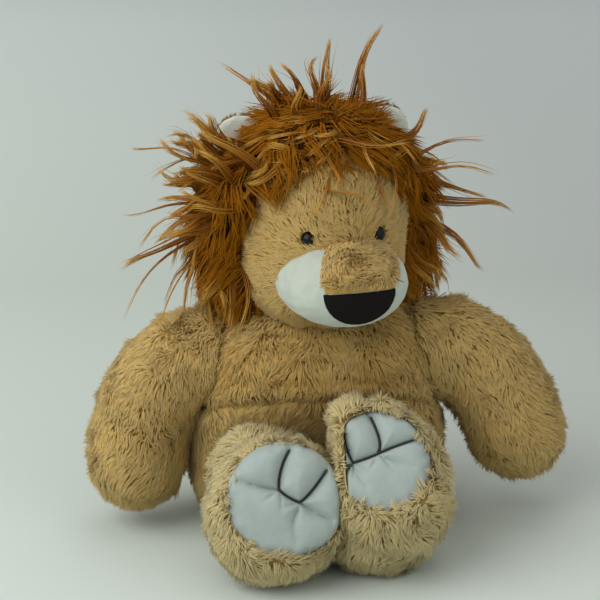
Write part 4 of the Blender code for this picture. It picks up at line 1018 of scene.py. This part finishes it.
class LION_OT_head(bpy.types.Operator):
    """Adds the stuffed head, the muzzle with its nose and bridge, and the eyes"""

    bl_idname = "lion.head"
    bl_label = "Head"

    def execute(self, context):
        settings = context.scene.lion_pile
        cloth = context.scene.lion_cloth
        looks = tan_pile()
        head = stuffed("head_form", ("face_panel", "head_filling"), 2.8 * MM, 1.0 * MM, 5)
        dress(head, looks["tan_backing"])
        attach(head, "head")
        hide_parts("face_panel", "head_filling")
        forms["head"] = head

        nodes = ("muzzle_panel", "muzzle_filling", "bridge_panel", "nose")
        muzzle = stuffed("muzzle_form", nodes, 1.7 * MM, 0.5 * MM, 5)
        dress(muzzle, velboa_material("white_velboa", cloth.muzzle))
        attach(muzzle, "head")
        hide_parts("muzzle_panel", "muzzle_filling")

        nose = stuffed("nose_patch", ("nose",), 0.9 * MM, -0.2 * MM, 6, 0.1 * MM)
        dress(nose, velboa_material("dark_brown_velboa", cloth.nose, 1.2, 0.0))
        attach(nose, "head")
        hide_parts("nose")

        bridge = stuffed("bridge_form", ("bridge_panel",), 1.1 * MM, -0.2 * MM, 5, 0.1 * MM)
        narrow_bridge(bridge)
        dress(bridge, looks["tan_backing"])
        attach(bridge, "head")
        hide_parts("bridge_panel")

        muzzle_tree = bvh(muzzle)
        eyes = [middle_of("eye_right"), middle_of("eye_left")]

        def face_keep(points, normals):
            wanted = (ahead_of_hairline(in_head(points)) > -5 * MM) & (depth_in(muzzle_tree, points) < 0.5 * MM)
            wanted &= (normals[:, 2] > -0.6) | (points[:, 1] < -30 * MM)
            for eye in eyes:
                wanted &= np.linalg.norm(points - eye, axis=1) > 5.0 * MM
            return wanted

        def face_comb(points, normals):
            local = in_head(points)
            away = local - np.array((0, -0.075, 0.045))
            return from_head(away * (1, 0.4, 1)) / 0.03

        pile("face_pile", head, looks["tan"], "head", face_comb, settings.face_length, 120, face_keep,
             lift=0.44, density=settings.density * 1.5, clump=3.0 * MM, shade=0.50, width=0.40 * MM)

        def bridge_keep(points, normals):
            local = in_head(points)
            return (depth_in(muzzle_tree, points) < 1.0 * MM) & (local[:, 2] > 0.0408)

        def bridge_comb(points, normals):
            local = in_head(points)
            ways = (local[:, 0] / 0.09, np.full(len(points), -0.55), np.full(len(points), -0.45))
            return from_head(np.stack(ways, axis=1))

        pile("bridge_pile", bridge, looks["tan"], "head", bridge_comb, settings.face_length * 0.85, 130,
             bridge_keep, lift=0.62, density=settings.density * 1.7, clump=3.2 * MM, shade=0.58, width=0.40 * MM)

        black = eye_material("black_acrylic", cloth.eye)
        for side in ("right", "left"):
            place = Vector(middle_of("eye_" + side))
            axis = (place - Vector(middle_of("eye_washer_" + side))).normalized()
            eye = eye_piece("eye_dome_" + side, place - axis * EYE_SINK, axis)
            dress(eye, black)
            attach(eye, "head")
            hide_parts("eye_" + side)
        return {"FINISHED"}


def narrow_bridge(form):
    """Draws in the bridge's right edge towards the face, where the white of the muzzle shows beside it."""
    local = in_head(mesh_array(form.data, "co"))
    share = np.clip((local[:, 1] + 95 * MM) / (35 * MM), 0, 1) * (local[:, 0] < 0)
    local[:, 0] *= 1 - 0.36 * share
    move_points(form.data, from_head(local) + np.array(HEAD_FRAME.translation))


EYE_RADIUS = 5.3 * MM
EYE_FLATNESS = 0.80
EYE_SINK = 0.4 * MM


def eye_piece(name, place, axis):
    """A polished dome on a flat back."""
    bpy.ops.object.select_all(action="DESELECT")
    bpy.ops.mesh.primitive_uv_sphere_add(segments=40, ring_count=24, radius=EYE_RADIUS, location=(0, 0, 0))
    made = bpy.context.active_object
    made.name = made.data.name = name
    bpy.ops.object.mode_set(mode="EDIT")
    bpy.ops.mesh.select_all(action="SELECT")
    bpy.ops.transform.resize(value=(1, 1, EYE_FLATNESS))
    bpy.ops.mesh.bisect(plane_co=(0, 0, -1.0 * MM), plane_no=(0, 0, 1), use_fill=True, clear_inner=True)
    bpy.ops.object.mode_set(mode="OBJECT")
    turn = Vector((0, 0, 1)).rotation_difference(axis).to_matrix().to_4x4()
    made.data.transform(Matrix.Translation(place) @ turn)
    made.data.shade_smooth()
    return made


class LION_OT_ears(bpy.types.Operator):
    """Adds the round ears, white in front and tan behind"""

    bl_idname = "lion.ears"
    bl_label = "Ears"

    def execute(self, context):
        settings = context.scene.lion_pile
        looks = tan_pile()
        white = velboa_material("ear_white_velboa", context.scene.lion_cloth.ear)
        for index, side in enumerate(("right", "left")):
            body = "ear_" + side
            for face, finish in (("front", white), ("back", looks["tan_backing"])):
                node = "ear_" + face + "_" + side
                form = dress(stuffed(node + "_form", (node,), 0.8 * MM, 0.0, 4, 0.1 * MM), finish)
                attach(form, body)
                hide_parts(node)
            pile("ear_pile_" + side, form, looks["tan"], body, (0, 0.2, 1.0), settings.face_length * 0.5,
                 140 + index * 10, lambda p, n: n[:, 1] > 0.5, lift=0.6, density=1.0)
        return {"FINISHED"}


# The mane's main locks, in the head's frame. For each lock: its root's degrees from straight up to the
# left and to the back, then its tip to the left, to the back and up, in millimetres.
MAIN_LOCKS = {
    "mane_crown": (
        (18, -6, 41.8, 0.0, 190.8),
        (6, 6, 11.3, 6.4, 181.4),
        (15, -21, 33.1, -16.0, 165.6),
        (-2, -17, 0.0, -11.5, 167.0),
        (-15, -21, -23.5, -20.5, 154.1),
        (-27, -10, -46.1, -3.2, 161.3),
        (12, 34, 17.4, 54.4, 159.8),
        (-16, 38, -26.1, 62.7, 146.9),
        (-47, -18, -97.4, -9.6, 137.5),
        (47, -18, 80.0, -11.5, 127.4),
    ),
    "mane_right": (
        (-77, -13, -92.2, -16.0, 108.0),
        (-83, 3, -102.7, -6.4, 67.7),
        (-91, -12, -113.1, 1.3, 51.8),
        (-98, 5, -135.7, 3.2, 31.0),
        (-108, 7, -90.5, 6.4, 2.9),
        (-114, -2, -67.9, -19.2, 5.0),
    ),
    "mane_left": (
        (76, -14, 78.3, -29.4, 100.8),
        (80, 5, 126.2, 9.0, 60.5),
        (88, -6, 143.6, -1.3, 48.2),
        (97, -9, 95.7, -28.8, 36.0),
        (101, 0, 116.6, -12.8, 18.0),
        (114, -3, 80.0, -21.8, 6.5),
        (109, 7, 99.2, 15.4, 2.9),
    ),
    "mane_nape": (
        (-76, 38, -74.0, 86.3, 103.7),
        (-92, 36, -91.4, 82.5, 57.6),
        (-112, 38, -57.4, 90.0, 17.3),
        (0, 78, 1.7, 102.0, 66.2),
        (112, 38, 53.9, 93.0, 20.2),
        (92, 36, 90.5, 82.5, 57.6),
        (76, 38, 67.9, 91.5, 106.6),
    ),
}

# Loose hairs over the forehead and locks that rise at the mane's right side, given as the main locks are.
FACE_WISPS = (
    (62, -35, 6.0, -69.0, 62.0),
    (-4, -44, -21.0, -66.0, 78.0),
    (30, -44, 30.0, -64.0, 74.0),
)
RISING_LOCKS = (
    (-62, -12, -104.0, -12.0, 128.0),
    (-66, -4, -110.0, 0.0, 120.0),
    (-70, -14, -100.0, -22.0, 114.0),
    (-58, -2, -90.0, 2.0, 136.0),
    (-64, 6, -98.0, 12.0, 122.0),
    (-72, -8, -112.0, -8.0, 104.0),
    (-55, -14, -84.0, -16.0, 142.0),
    (-76, 0, -108.0, 4.0, 94.0),
    (-60, -18, -92.0, -26.0, 124.0),
)


def bezier(points, way):
    """Places along quadratic curves given by their three points, root to tip."""
    a, b, c = (point[:, None, :] for point in points)
    return (1 - way) ** 2 * a + 2 * way * (1 - way) * b + way ** 2 * c


def lock_strands(root, normal, bend, tip, amount, radius, rng, wave, count=9, spread=0.7 * MM, shortest=0.80):
    """The spines of one lock's strands, which start side by side, draw together and curl as one.

    One strand in eight strays from the lock, as loose hair does.
    """
    across = unit(np.cross(tip - root, normal)[None])[0]
    other = unit(np.cross(normal, across)[None])[0]
    turn = rng.uniform(0, 2 * math.pi, amount)
    reach = radius * np.sqrt(rng.random(amount))
    offset = across * (np.cos(turn) * reach)[:, None] + other * (np.sin(turn) * reach)[:, None]
    loose = spread * np.where(rng.random((amount, 1)) < 1 / 8, 5.0, 1.0)
    starts = root + offset
    ends = tip + offset * 0.10 + rng.normal(size=(amount, 3)) * loose
    bends = bend + offset * 0.60 + rng.normal(size=(amount, 3)) * loose * 0.6
    way = np.linspace(0, 1, count)[None, :, None] * rng.uniform(shortest, 1.0, (amount, 1, 1)) ** 0.6
    spines = bezier((starts, bends, ends), way)
    phase, cycles = rng.uniform(0, 6.28, 2), rng.uniform(0.7, 1.2)
    spines += across * np.sin(way * cycles * 6.28 + phase[0]) * way * wave
    spines += other * np.sin(way * cycles * 5.1 + phase[1]) * way * wave * 0.6
    return spines


# The mane's backing in the head's frame: height, half width and depth behind, in mm.
MANE_LEVELS = (
    (6.0, 56.0, 46.0),
    (14.0, 67.0, 54.0),
    (30.0, 72.0, 61.0),
    (52.0, 71.0, 64.0),
    (74.0, 68.0, 63.0),
    (94.0, 62.0, 58.0),
    (110.0, 49.0, 48.0),
    (122.0, 33.0, 35.0),
    (129.0, 15.0, 18.0),
)
MANE_FRONT = 52.0


def mane_base(name):
    """The backing of the mane, round the head and flat along the hairline."""
    bpy.ops.object.select_all(action="DESELECT")
    bpy.ops.mesh.primitive_cylinder_add(vertices=48, radius=1, depth=1, end_fill_type="TRIFAN")
    made = bpy.context.active_object
    made.name = made.data.name = name
    work = bmesh.new()
    work.from_mesh(made.data)
    work.clear()
    rings = []
    for height, wide, back in MANE_LEVELS:
        ring = []
        hairline = np.interp(height, HAIRLINE_LEVELS, HAIRLINE_FORWARD)
        for step in range(48):
            turn = 2 * math.pi * step / 48
            deep = math.sin(turn) * (back if math.sin(turn) > 0 else MANE_FRONT)
            place = (math.cos(turn) * wide * MM, max(deep, -hairline) * MM, height * MM)
            ring.append(work.verts.new(place))
        rings.append(ring)
    for low, high in zip(rings, rings[1:]):
        for step in range(48):
            after = (step + 1) % 48
            work.faces.new((low[step], low[after], high[after], high[step]))
    work.faces.new(list(reversed(rings[0])))
    work.faces.new(rings[-1])
    bmesh.ops.recalc_face_normals(work, faces=work.faces)
    work.to_mesh(made.data)
    work.free()
    voxels(made, 3.0 * MM)
    modified(made, "SMOOTH", factor=0.5, iterations=10)
    made.data.transform(HEAD_FRAME)
    return made


def hair_panel(place):
    """The mane panel that holds a place in the head's frame."""
    if place[2] > 0.100:
        return "mane_crown"
    if place[1] > 0.024:
        return "mane_nape"
    return "mane_left" if place[0] > 0 else "mane_right"


def hair_heading(place, normal, rng):
    """The way a lock of the mane lies in the head's frame, and how far its tip may stand off the backing."""
    side = 1.0 if place[0] > 0 else -1.0
    high = place[2] / MM
    if high > 100 and place[1] < 0.012:
        sweep = rng.random()
        ways = ((0.55, (-0.75, -0.40, -0.10)), (0.80, (0.05, -0.80, -0.40)), (1.0, (0.75, -0.25, -0.20)))
        way = next(way for limit, way in ways if sweep < limit)
        return unit((np.array(way) + rng.normal(size=3) * 0.24)[None])[0], 15 * MM
    rises = (-86, -74, -48, -6, 34, 58) if side < 0 else (-86, -76, -56, -30, 0, 20)
    rise = math.radians(np.interp(high, (10, 40, 62, 78, 92, 108), rises) + rng.normal() * 9)
    flare = np.array((side * math.cos(rise), -0.10 + rng.normal() * 0.18, math.sin(rise)))
    behind = np.clip((place[1] / MM - 10) / 25, 0, 1)
    fall = normal * 0.35 + np.array((rng.normal() * 0.18, rng.normal() * 0.10, -0.90))
    heading = unit(((1 - behind) * flare + behind * fall)[None])[0]
    most = np.interp(high, (20, 60, 85), (27, 22, 54 if side < 0 else 26))
    return heading, (most * (1 - behind) + 22 * behind) * MM


class LION_OT_mane(bpy.types.Operator):
    """Adds the mane: a backing round the head and the locks that hang and stand out from it"""

    bl_idname = "lion.mane"
    bl_label = "Mane"

    def execute(self, context):
        settings = context.scene.lion_mane
        hair = pile_material("rust_modacrylic_hair", settings.root, settings.middle, settings.tip,
                             0.48, 0.0, 0.32)
        # The under-hair is the mane's own rust, kept darker than the locks and without their pale tips, as painted
        # shade in the depth between them.
        between = tuple((dark + pale) / 2 for dark, pale in zip(settings.root, settings.middle))
        short = pile_material("rust_underhair", settings.root, between, settings.middle, 0.9, 0.0, 0.08)
        backing = backing_material("rust_underfur", linear("#3A1E06"), linear("#6E4010"))
        base = mane_base("mane_form")
        dress(base, backing).data.shade_smooth()
        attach(base, "head")
        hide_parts(*MAIN_LOCKS)
        tree, head_tree = bvh(base), bvh(forms["head"])
        rng = np.random.default_rng(7)
        groups = {name: [] for name in MAIN_LOCKS}
        tones = {name: [] for name in MAIN_LOCKS}

        def add_lock(name, root, normal, tip, arch, amount, radius, wave):
            length = np.linalg.norm(tip - root)
            bend = root + (tip - root) * 0.45 + normal * length * arch
            spines = lock_strands(root - normal * 2 * MM, normal, bend, tip, amount, radius, rng, wave)
            groups[name].append(spines)
            tones[name].append(np.clip(0.56 + rng.normal() * 0.24 + rng.normal(size=amount) * 0.10, 0, 1))

        def laid(tip, most):
            """A lock's tip, kept off the backing and no further from it than it may stand."""
            near, normal, _, distance = tree.find_nearest(Vector(tip))
            away = np.array(tip) - np.array(near)
            if (Vector(away)).dot(normal) < 0:
                return np.array(near) + np.array(normal) * 9 * MM
            return np.array(near) + away * np.clip(distance, 8 * MM, most) / max(distance, 1e-6)

        anchor = HEAD_FRAME @ Vector((0, 0, 70 * MM))
        finer = {"face_wisps": ("mane_crown", 5, 1.2, 3.0),
                 "rising_locks": ("mane_right", 18, 4.2, 6.0)}
        for name, rows in (*MAIN_LOCKS.items(), ("face_wisps", FACE_WISPS), ("rising_locks", RISING_LOCKS)):
            panel, amount, radius, wave = finer.get(name, (name, 24, 4.6, 6.5))
            for around, behind, left, back, up in rows:
                turn, lean = math.radians(around), math.radians(behind)
                heading = Vector((math.sin(turn) * math.cos(lean), math.sin(lean), math.cos(turn) * math.cos(lean)))
                heading = HEAD_FRAME.to_3x3() @ heading
                hit, normal, _, _ = tree.ray_cast(anchor + heading * 0.3, -heading)
                tip = np.array(HEAD_FRAME @ Vector((left * MM, back * MM, up * MM)))
                add_lock(panel, np.array(hit), np.array(normal), tip, 0.20, amount, radius * MM, wave * MM)

        def rooted(points, normals):
            return (depth_in(head_tree, points) < 1.5 * MM) & (normals[:, 2] > -0.72)

        def undercoat(points, normals):
            local = in_head(points)
            side = np.sign(local[:, :1])
            return from_head(np.concatenate([side * 0.5, local[:, 1:2] * 8, np.full(side.shape, -0.9)], axis=1))

        pile("mane_undercoat", base, short, "head", undercoat, 26 * MM, 300, rooted, lift=0.45, density=0.24,
             clump=7 * MM, shade=0.65, width=0.62 * MM, gather=0.6)
        points, normals = scattered(base, 0.05, rng)
        kept = rooted(points, normals)
        points, normals = points[kept], normals[kept]
        local = in_head(points)
        inward = np.array(HEAD_FRAME.to_3x3().inverted())
        ear = in_head(middle_of("ear_front_right")[None])[0] + np.array((0.013, -0.012, -0.011))
        chosen = rng.choice(len(points), min(settings.locks, len(points)), replace=False)
        for point, normal, place in zip(points[chosen], normals[chosen], local[chosen]):
            heading, most = hair_heading(place, inward @ normal, rng)
            high = np.clip((place[2] - 0.088) / 0.015, 0, 1)
            length = settings.length * (1 - 0.24 * high) * rng.uniform(0.75, 1.10)
            tip = HEAD_FRAME @ Vector(place + heading * length)
            wild = rng.random() < 0.16
            tip = np.array(tip) if wild else laid(tip, most * rng.uniform(0.6, 1.0))
            tip[2] = max(tip[2], (134 + rng.random() * 14) * MM)
            middle = in_head(((point + tip) / 2)[None])[0]
            if min(np.linalg.norm(middle - ear), np.linalg.norm(place - ear)) < 11 * MM:
                continue
            add_lock(hair_panel(place), point, normal, tip, 0.24 if wild else 0.16, 7 if wild else 28,
                     (2.0 if wild else 4.4) * MM, rng.uniform(4.0, 8.0) * MM)
        for name in MAIN_LOCKS:
            spines, shades = np.concatenate(groups[name]), np.concatenate(tones[name])
            left = in_head(spines[:, 0])[:, 0] > 0
            halves = {"": np.ones(len(spines), bool)}
            if len(spines) * 42 > 190000:
                halves = {"_right": ~left, "_left": left}
            for suffix, part in halves.items():
                half = settings.width * rng.uniform(0.65, 1.25, (part.sum(), 1))
                widths = half * np.linspace(1, 0.38, spines.shape[1] - 2)[None]
                piece = strands(name.replace("mane_", "mane_hair_") + suffix, spines[part], widths, shades[part])
                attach(dress(piece, hair), "head")
        return {"FINISHED"}


class LION_OT_tail(bpy.types.Operator):
    """Adds the tail and its tuft"""

    bl_idname = "lion.tail"
    bl_label = "Tail"

    def execute(self, context):
        settings = context.scene.lion_pile
        looks = tan_pile()
        tail = stuffed("tail_form", ("tail_tube",), 1.6 * MM, 0.8 * MM, 3, 0.1 * MM)
        dress(tail, looks["tan_backing"])
        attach(tail, "tail")
        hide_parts("tail_tube")
        pile("tail_pile", tail, looks["tan"], "tail", (0.25, 1.0, -0.2), settings.length * 0.75, 170)
        hair = bpy.data.materials["rust_modacrylic_hair"]
        tuft = dress(stuffed("tuft_form", ("tail_tuft",), 1.6 * MM, 3.0 * MM, 3, 0.1 * MM),
                     bpy.data.materials["rust_underfur"])
        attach(tuft, "tail")
        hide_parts("tail_tuft")
        rng = np.random.default_rng(171)
        points, normals = scattered(tuft, 0.9, rng)
        low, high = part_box("tail_tuft")
        tip = np.array((high[0] - 2 * MM, high[1] - 4 * MM, (low[2] + high[2]) / 2 - 2 * MM))
        way = unit(tip - points) * 14 * MM
        ends = points + normals * 3.0 * MM + way * rng.uniform(0.6, 1.1, (len(points), 1))
        spines = bezier((points - normals * MM, points + normals * 4 * MM + way * 0.3, ends),
                        np.linspace(0, 1, 5)[None, :, None])
        widths = np.full((len(points), 1), 0.4 * MM) * np.linspace(1, 0.5, 3)[None]
        shades = np.clip(0.5 + rng.normal(size=len(points)) * 0.22, 0, 1)
        made = dress(strands("tuft_hair", spines, widths, shades), hair)
        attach(made, "tail")
        return {"FINISHED"}


class LION_OT_inside(bpy.types.Operator):
    """Gives the filling, the pellet bag and the washers their materials"""

    bl_idname = "lion.inside"
    bl_label = "Inside"

    def execute(self, context):
        fibre = fibre_material("hollow_polyester_fibre", linear("#ECEBE6"))
        bag = fibre_material("pellet_bag_calico", linear("#D9D6CC"), 900.0)
        plastic = eye_material("moulded_washer_plastic", linear("#DDDDD8"))
        for name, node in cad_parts.items():
            if "filling" in name:
                dress(node, fibre)
            elif name == "pellet_bag":
                dress(node, bag)
            elif "washer" in name:
                dress(node, plastic)
        return {"FINISHED"}


# The lamps' places, sizes in metres and power in watts, all turned to the toy's middle, then the camera.
LAMPS = {"window": ((-1.9, -1.1, 1.75), 2.8, 59), "fill": ((1.8, -1.6, 1.2), 3.0, 13),
         "top": ((0.1, 0.6, 2.3), 1.8, 8)}
TOY_MIDDLE = (0, 0, 0.15)
ROOM_LIGHT = 0.43
CAMERA_PLACE = (-0.1315, -1.3755, 0.6017)
CAMERA_RIGHT = (0.9962, -0.0872, 0)
CAMERA_BACK = (-0.0829, -0.9474, 0.3090)
CAMERA_ANGLE = 15.9


class LION_OT_stage(bpy.types.Operator):
    """Adds the floor, the lights and the camera"""

    bl_idname = "lion.stage"
    bl_label = "Stage"

    def execute(self, context):
        settings = context.scene.lion_stage
        scene = context.scene
        scene.view_settings.view_transform = "Standard"
        bpy.ops.object.select_all(action="DESELECT")
        bpy.ops.mesh.primitive_plane_add(size=24, location=(0, 0, 0))
        floor = bpy.context.active_object
        floor.name = floor.data.name = "sweep"
        made, tree, shader = new_material("matt_paper_sweep")
        place = add_node(tree, "ShaderNodeTexCoord")
        split = add_node(tree, "ShaderNodeSeparateXYZ", links={0: place.outputs["Object"]})
        back = add_node(tree, "ShaderNodeMapRange", {"From Min": -0.1, "From Max": 1.8},
                        {"Value": split.outputs[1]})
        across = add_node(tree, "ShaderNodeMapRange", {"From Min": -0.35, "From Max": 0.35},
                          {"Value": split.outputs[0]})
        # Both ramps and their mix paint light and shade on one pale paper: lighter on the window's side and far
        # back, darker away from the window and behind the toy.
        sides = []
        for colours in ((settings.floor, settings.middle, settings.backdrop),
                        (settings.floor_painted_shade, settings.middle_painted_shade, settings.backdrop_painted_shade)):
            ramp = add_node(tree, "ShaderNodeValToRGB", links={0: back.outputs[0]})
            sides.append(stops_of(ramp, list(zip((0.0, 0.33, 1.0), colours))))
        both = add_node(tree, "ShaderNodeMix", {"data_type": "RGBA"},
                        {0: across.outputs[0], 6: sides[0].outputs[0], 7: sides[1].outputs[0]})
        tree.links.new(both.outputs[2], shader.inputs["Base Color"])
        shader.inputs["Roughness"].default_value = 0.9
        shader.inputs["Specular IOR Level"].default_value = 0.1
        dress(floor, made)

        for name, (place, size, power) in LAMPS.items():
            data = bpy.data.lights.new(name, "AREA")
            data.energy = power
            data.size = size
            light = bpy.data.objects.new(name, data)
            light.location = place
            light.rotation_euler = (Vector(place) - Vector(TOY_MIDDLE)).to_track_quat("Z", "Y").to_euler()
            scene.collection.objects.link(light)
        world = bpy.data.worlds.new("room") if scene.world is None else scene.world
        scene.world = world
        world.use_nodes = True
        shade = world.node_tree.nodes["Background"]
        shade.inputs["Color"].default_value = (0.97, 1.0, 0.97, 1)
        shade.inputs["Strength"].default_value = ROOM_LIGHT

        data = bpy.data.cameras.new("camera")
        camera = bpy.data.objects.new("camera", data)
        scene.collection.objects.link(camera)
        data.sensor_fit = "HORIZONTAL"
        data.angle = math.radians(CAMERA_ANGLE)
        right = Vector(CAMERA_RIGHT).normalized()
        back = Vector(CAMERA_BACK).normalized()
        up = back.cross(right)
        turn = Matrix((right, up, back)).transposed().to_4x4()
        camera.matrix_world = Matrix.Translation(CAMERA_PLACE) @ turn
        scene.camera = camera
        return {"FINISHED"}


class LION_PT_panel(bpy.types.Panel):
    """Lists the lion's pieces"""

    bl_idname = "LION_PT_panel"
    bl_label = "Plush lion"
    bl_space_type = "VIEW_3D"
    bl_region_type = "UI"
    bl_category = "Plush lion"

    def draw(self, context):
        for operator in STEPS:
            self.layout.operator(operator.bl_idname)
        for group in GROUPS:
            settings = getattr(context.scene, group)
            for name in settings.bl_rna.properties.keys():
                if name not in ("rna_type", "name"):
                    self.layout.prop(settings, name)


STEPS = (LION_OT_torso, LION_OT_arms, LION_OT_legs, LION_OT_soles, LION_OT_head, LION_OT_ears, LION_OT_mane,
         LION_OT_tail, LION_OT_inside, LION_OT_stage)
GROUPS = {"lion_pile": PileSettings, "lion_mane": ManeSettings, "lion_cloth": ClothSettings,
          "lion_stage": StageSettings}


def register():
    for group in GROUPS.values():
        bpy.utils.register_class(group)
    for name, group in GROUPS.items():
        setattr(bpy.types.Scene, name, PointerProperty(type=group))
    for operator in STEPS:
        bpy.utils.register_class(operator)
    bpy.utils.register_class(LION_PT_panel)


def unregister():
    bpy.utils.unregister_class(LION_PT_panel)
    for operator in reversed(STEPS):
        bpy.utils.unregister_class(operator)
    for name, group in reversed(GROUPS.items()):
        delattr(bpy.types.Scene, name)
        bpy.utils.unregister_class(group)


def main():
    register()
    for step in ("torso", "arms", "legs", "soles", "head", "ears", "mane", "tail", "inside", "stage"):
        result = getattr(bpy.ops.lion, step)()
        if result != {"FINISHED"}:
            raise RuntimeError("the " + step + " wasn't finished")


if __name__ == "__main__":
    main()
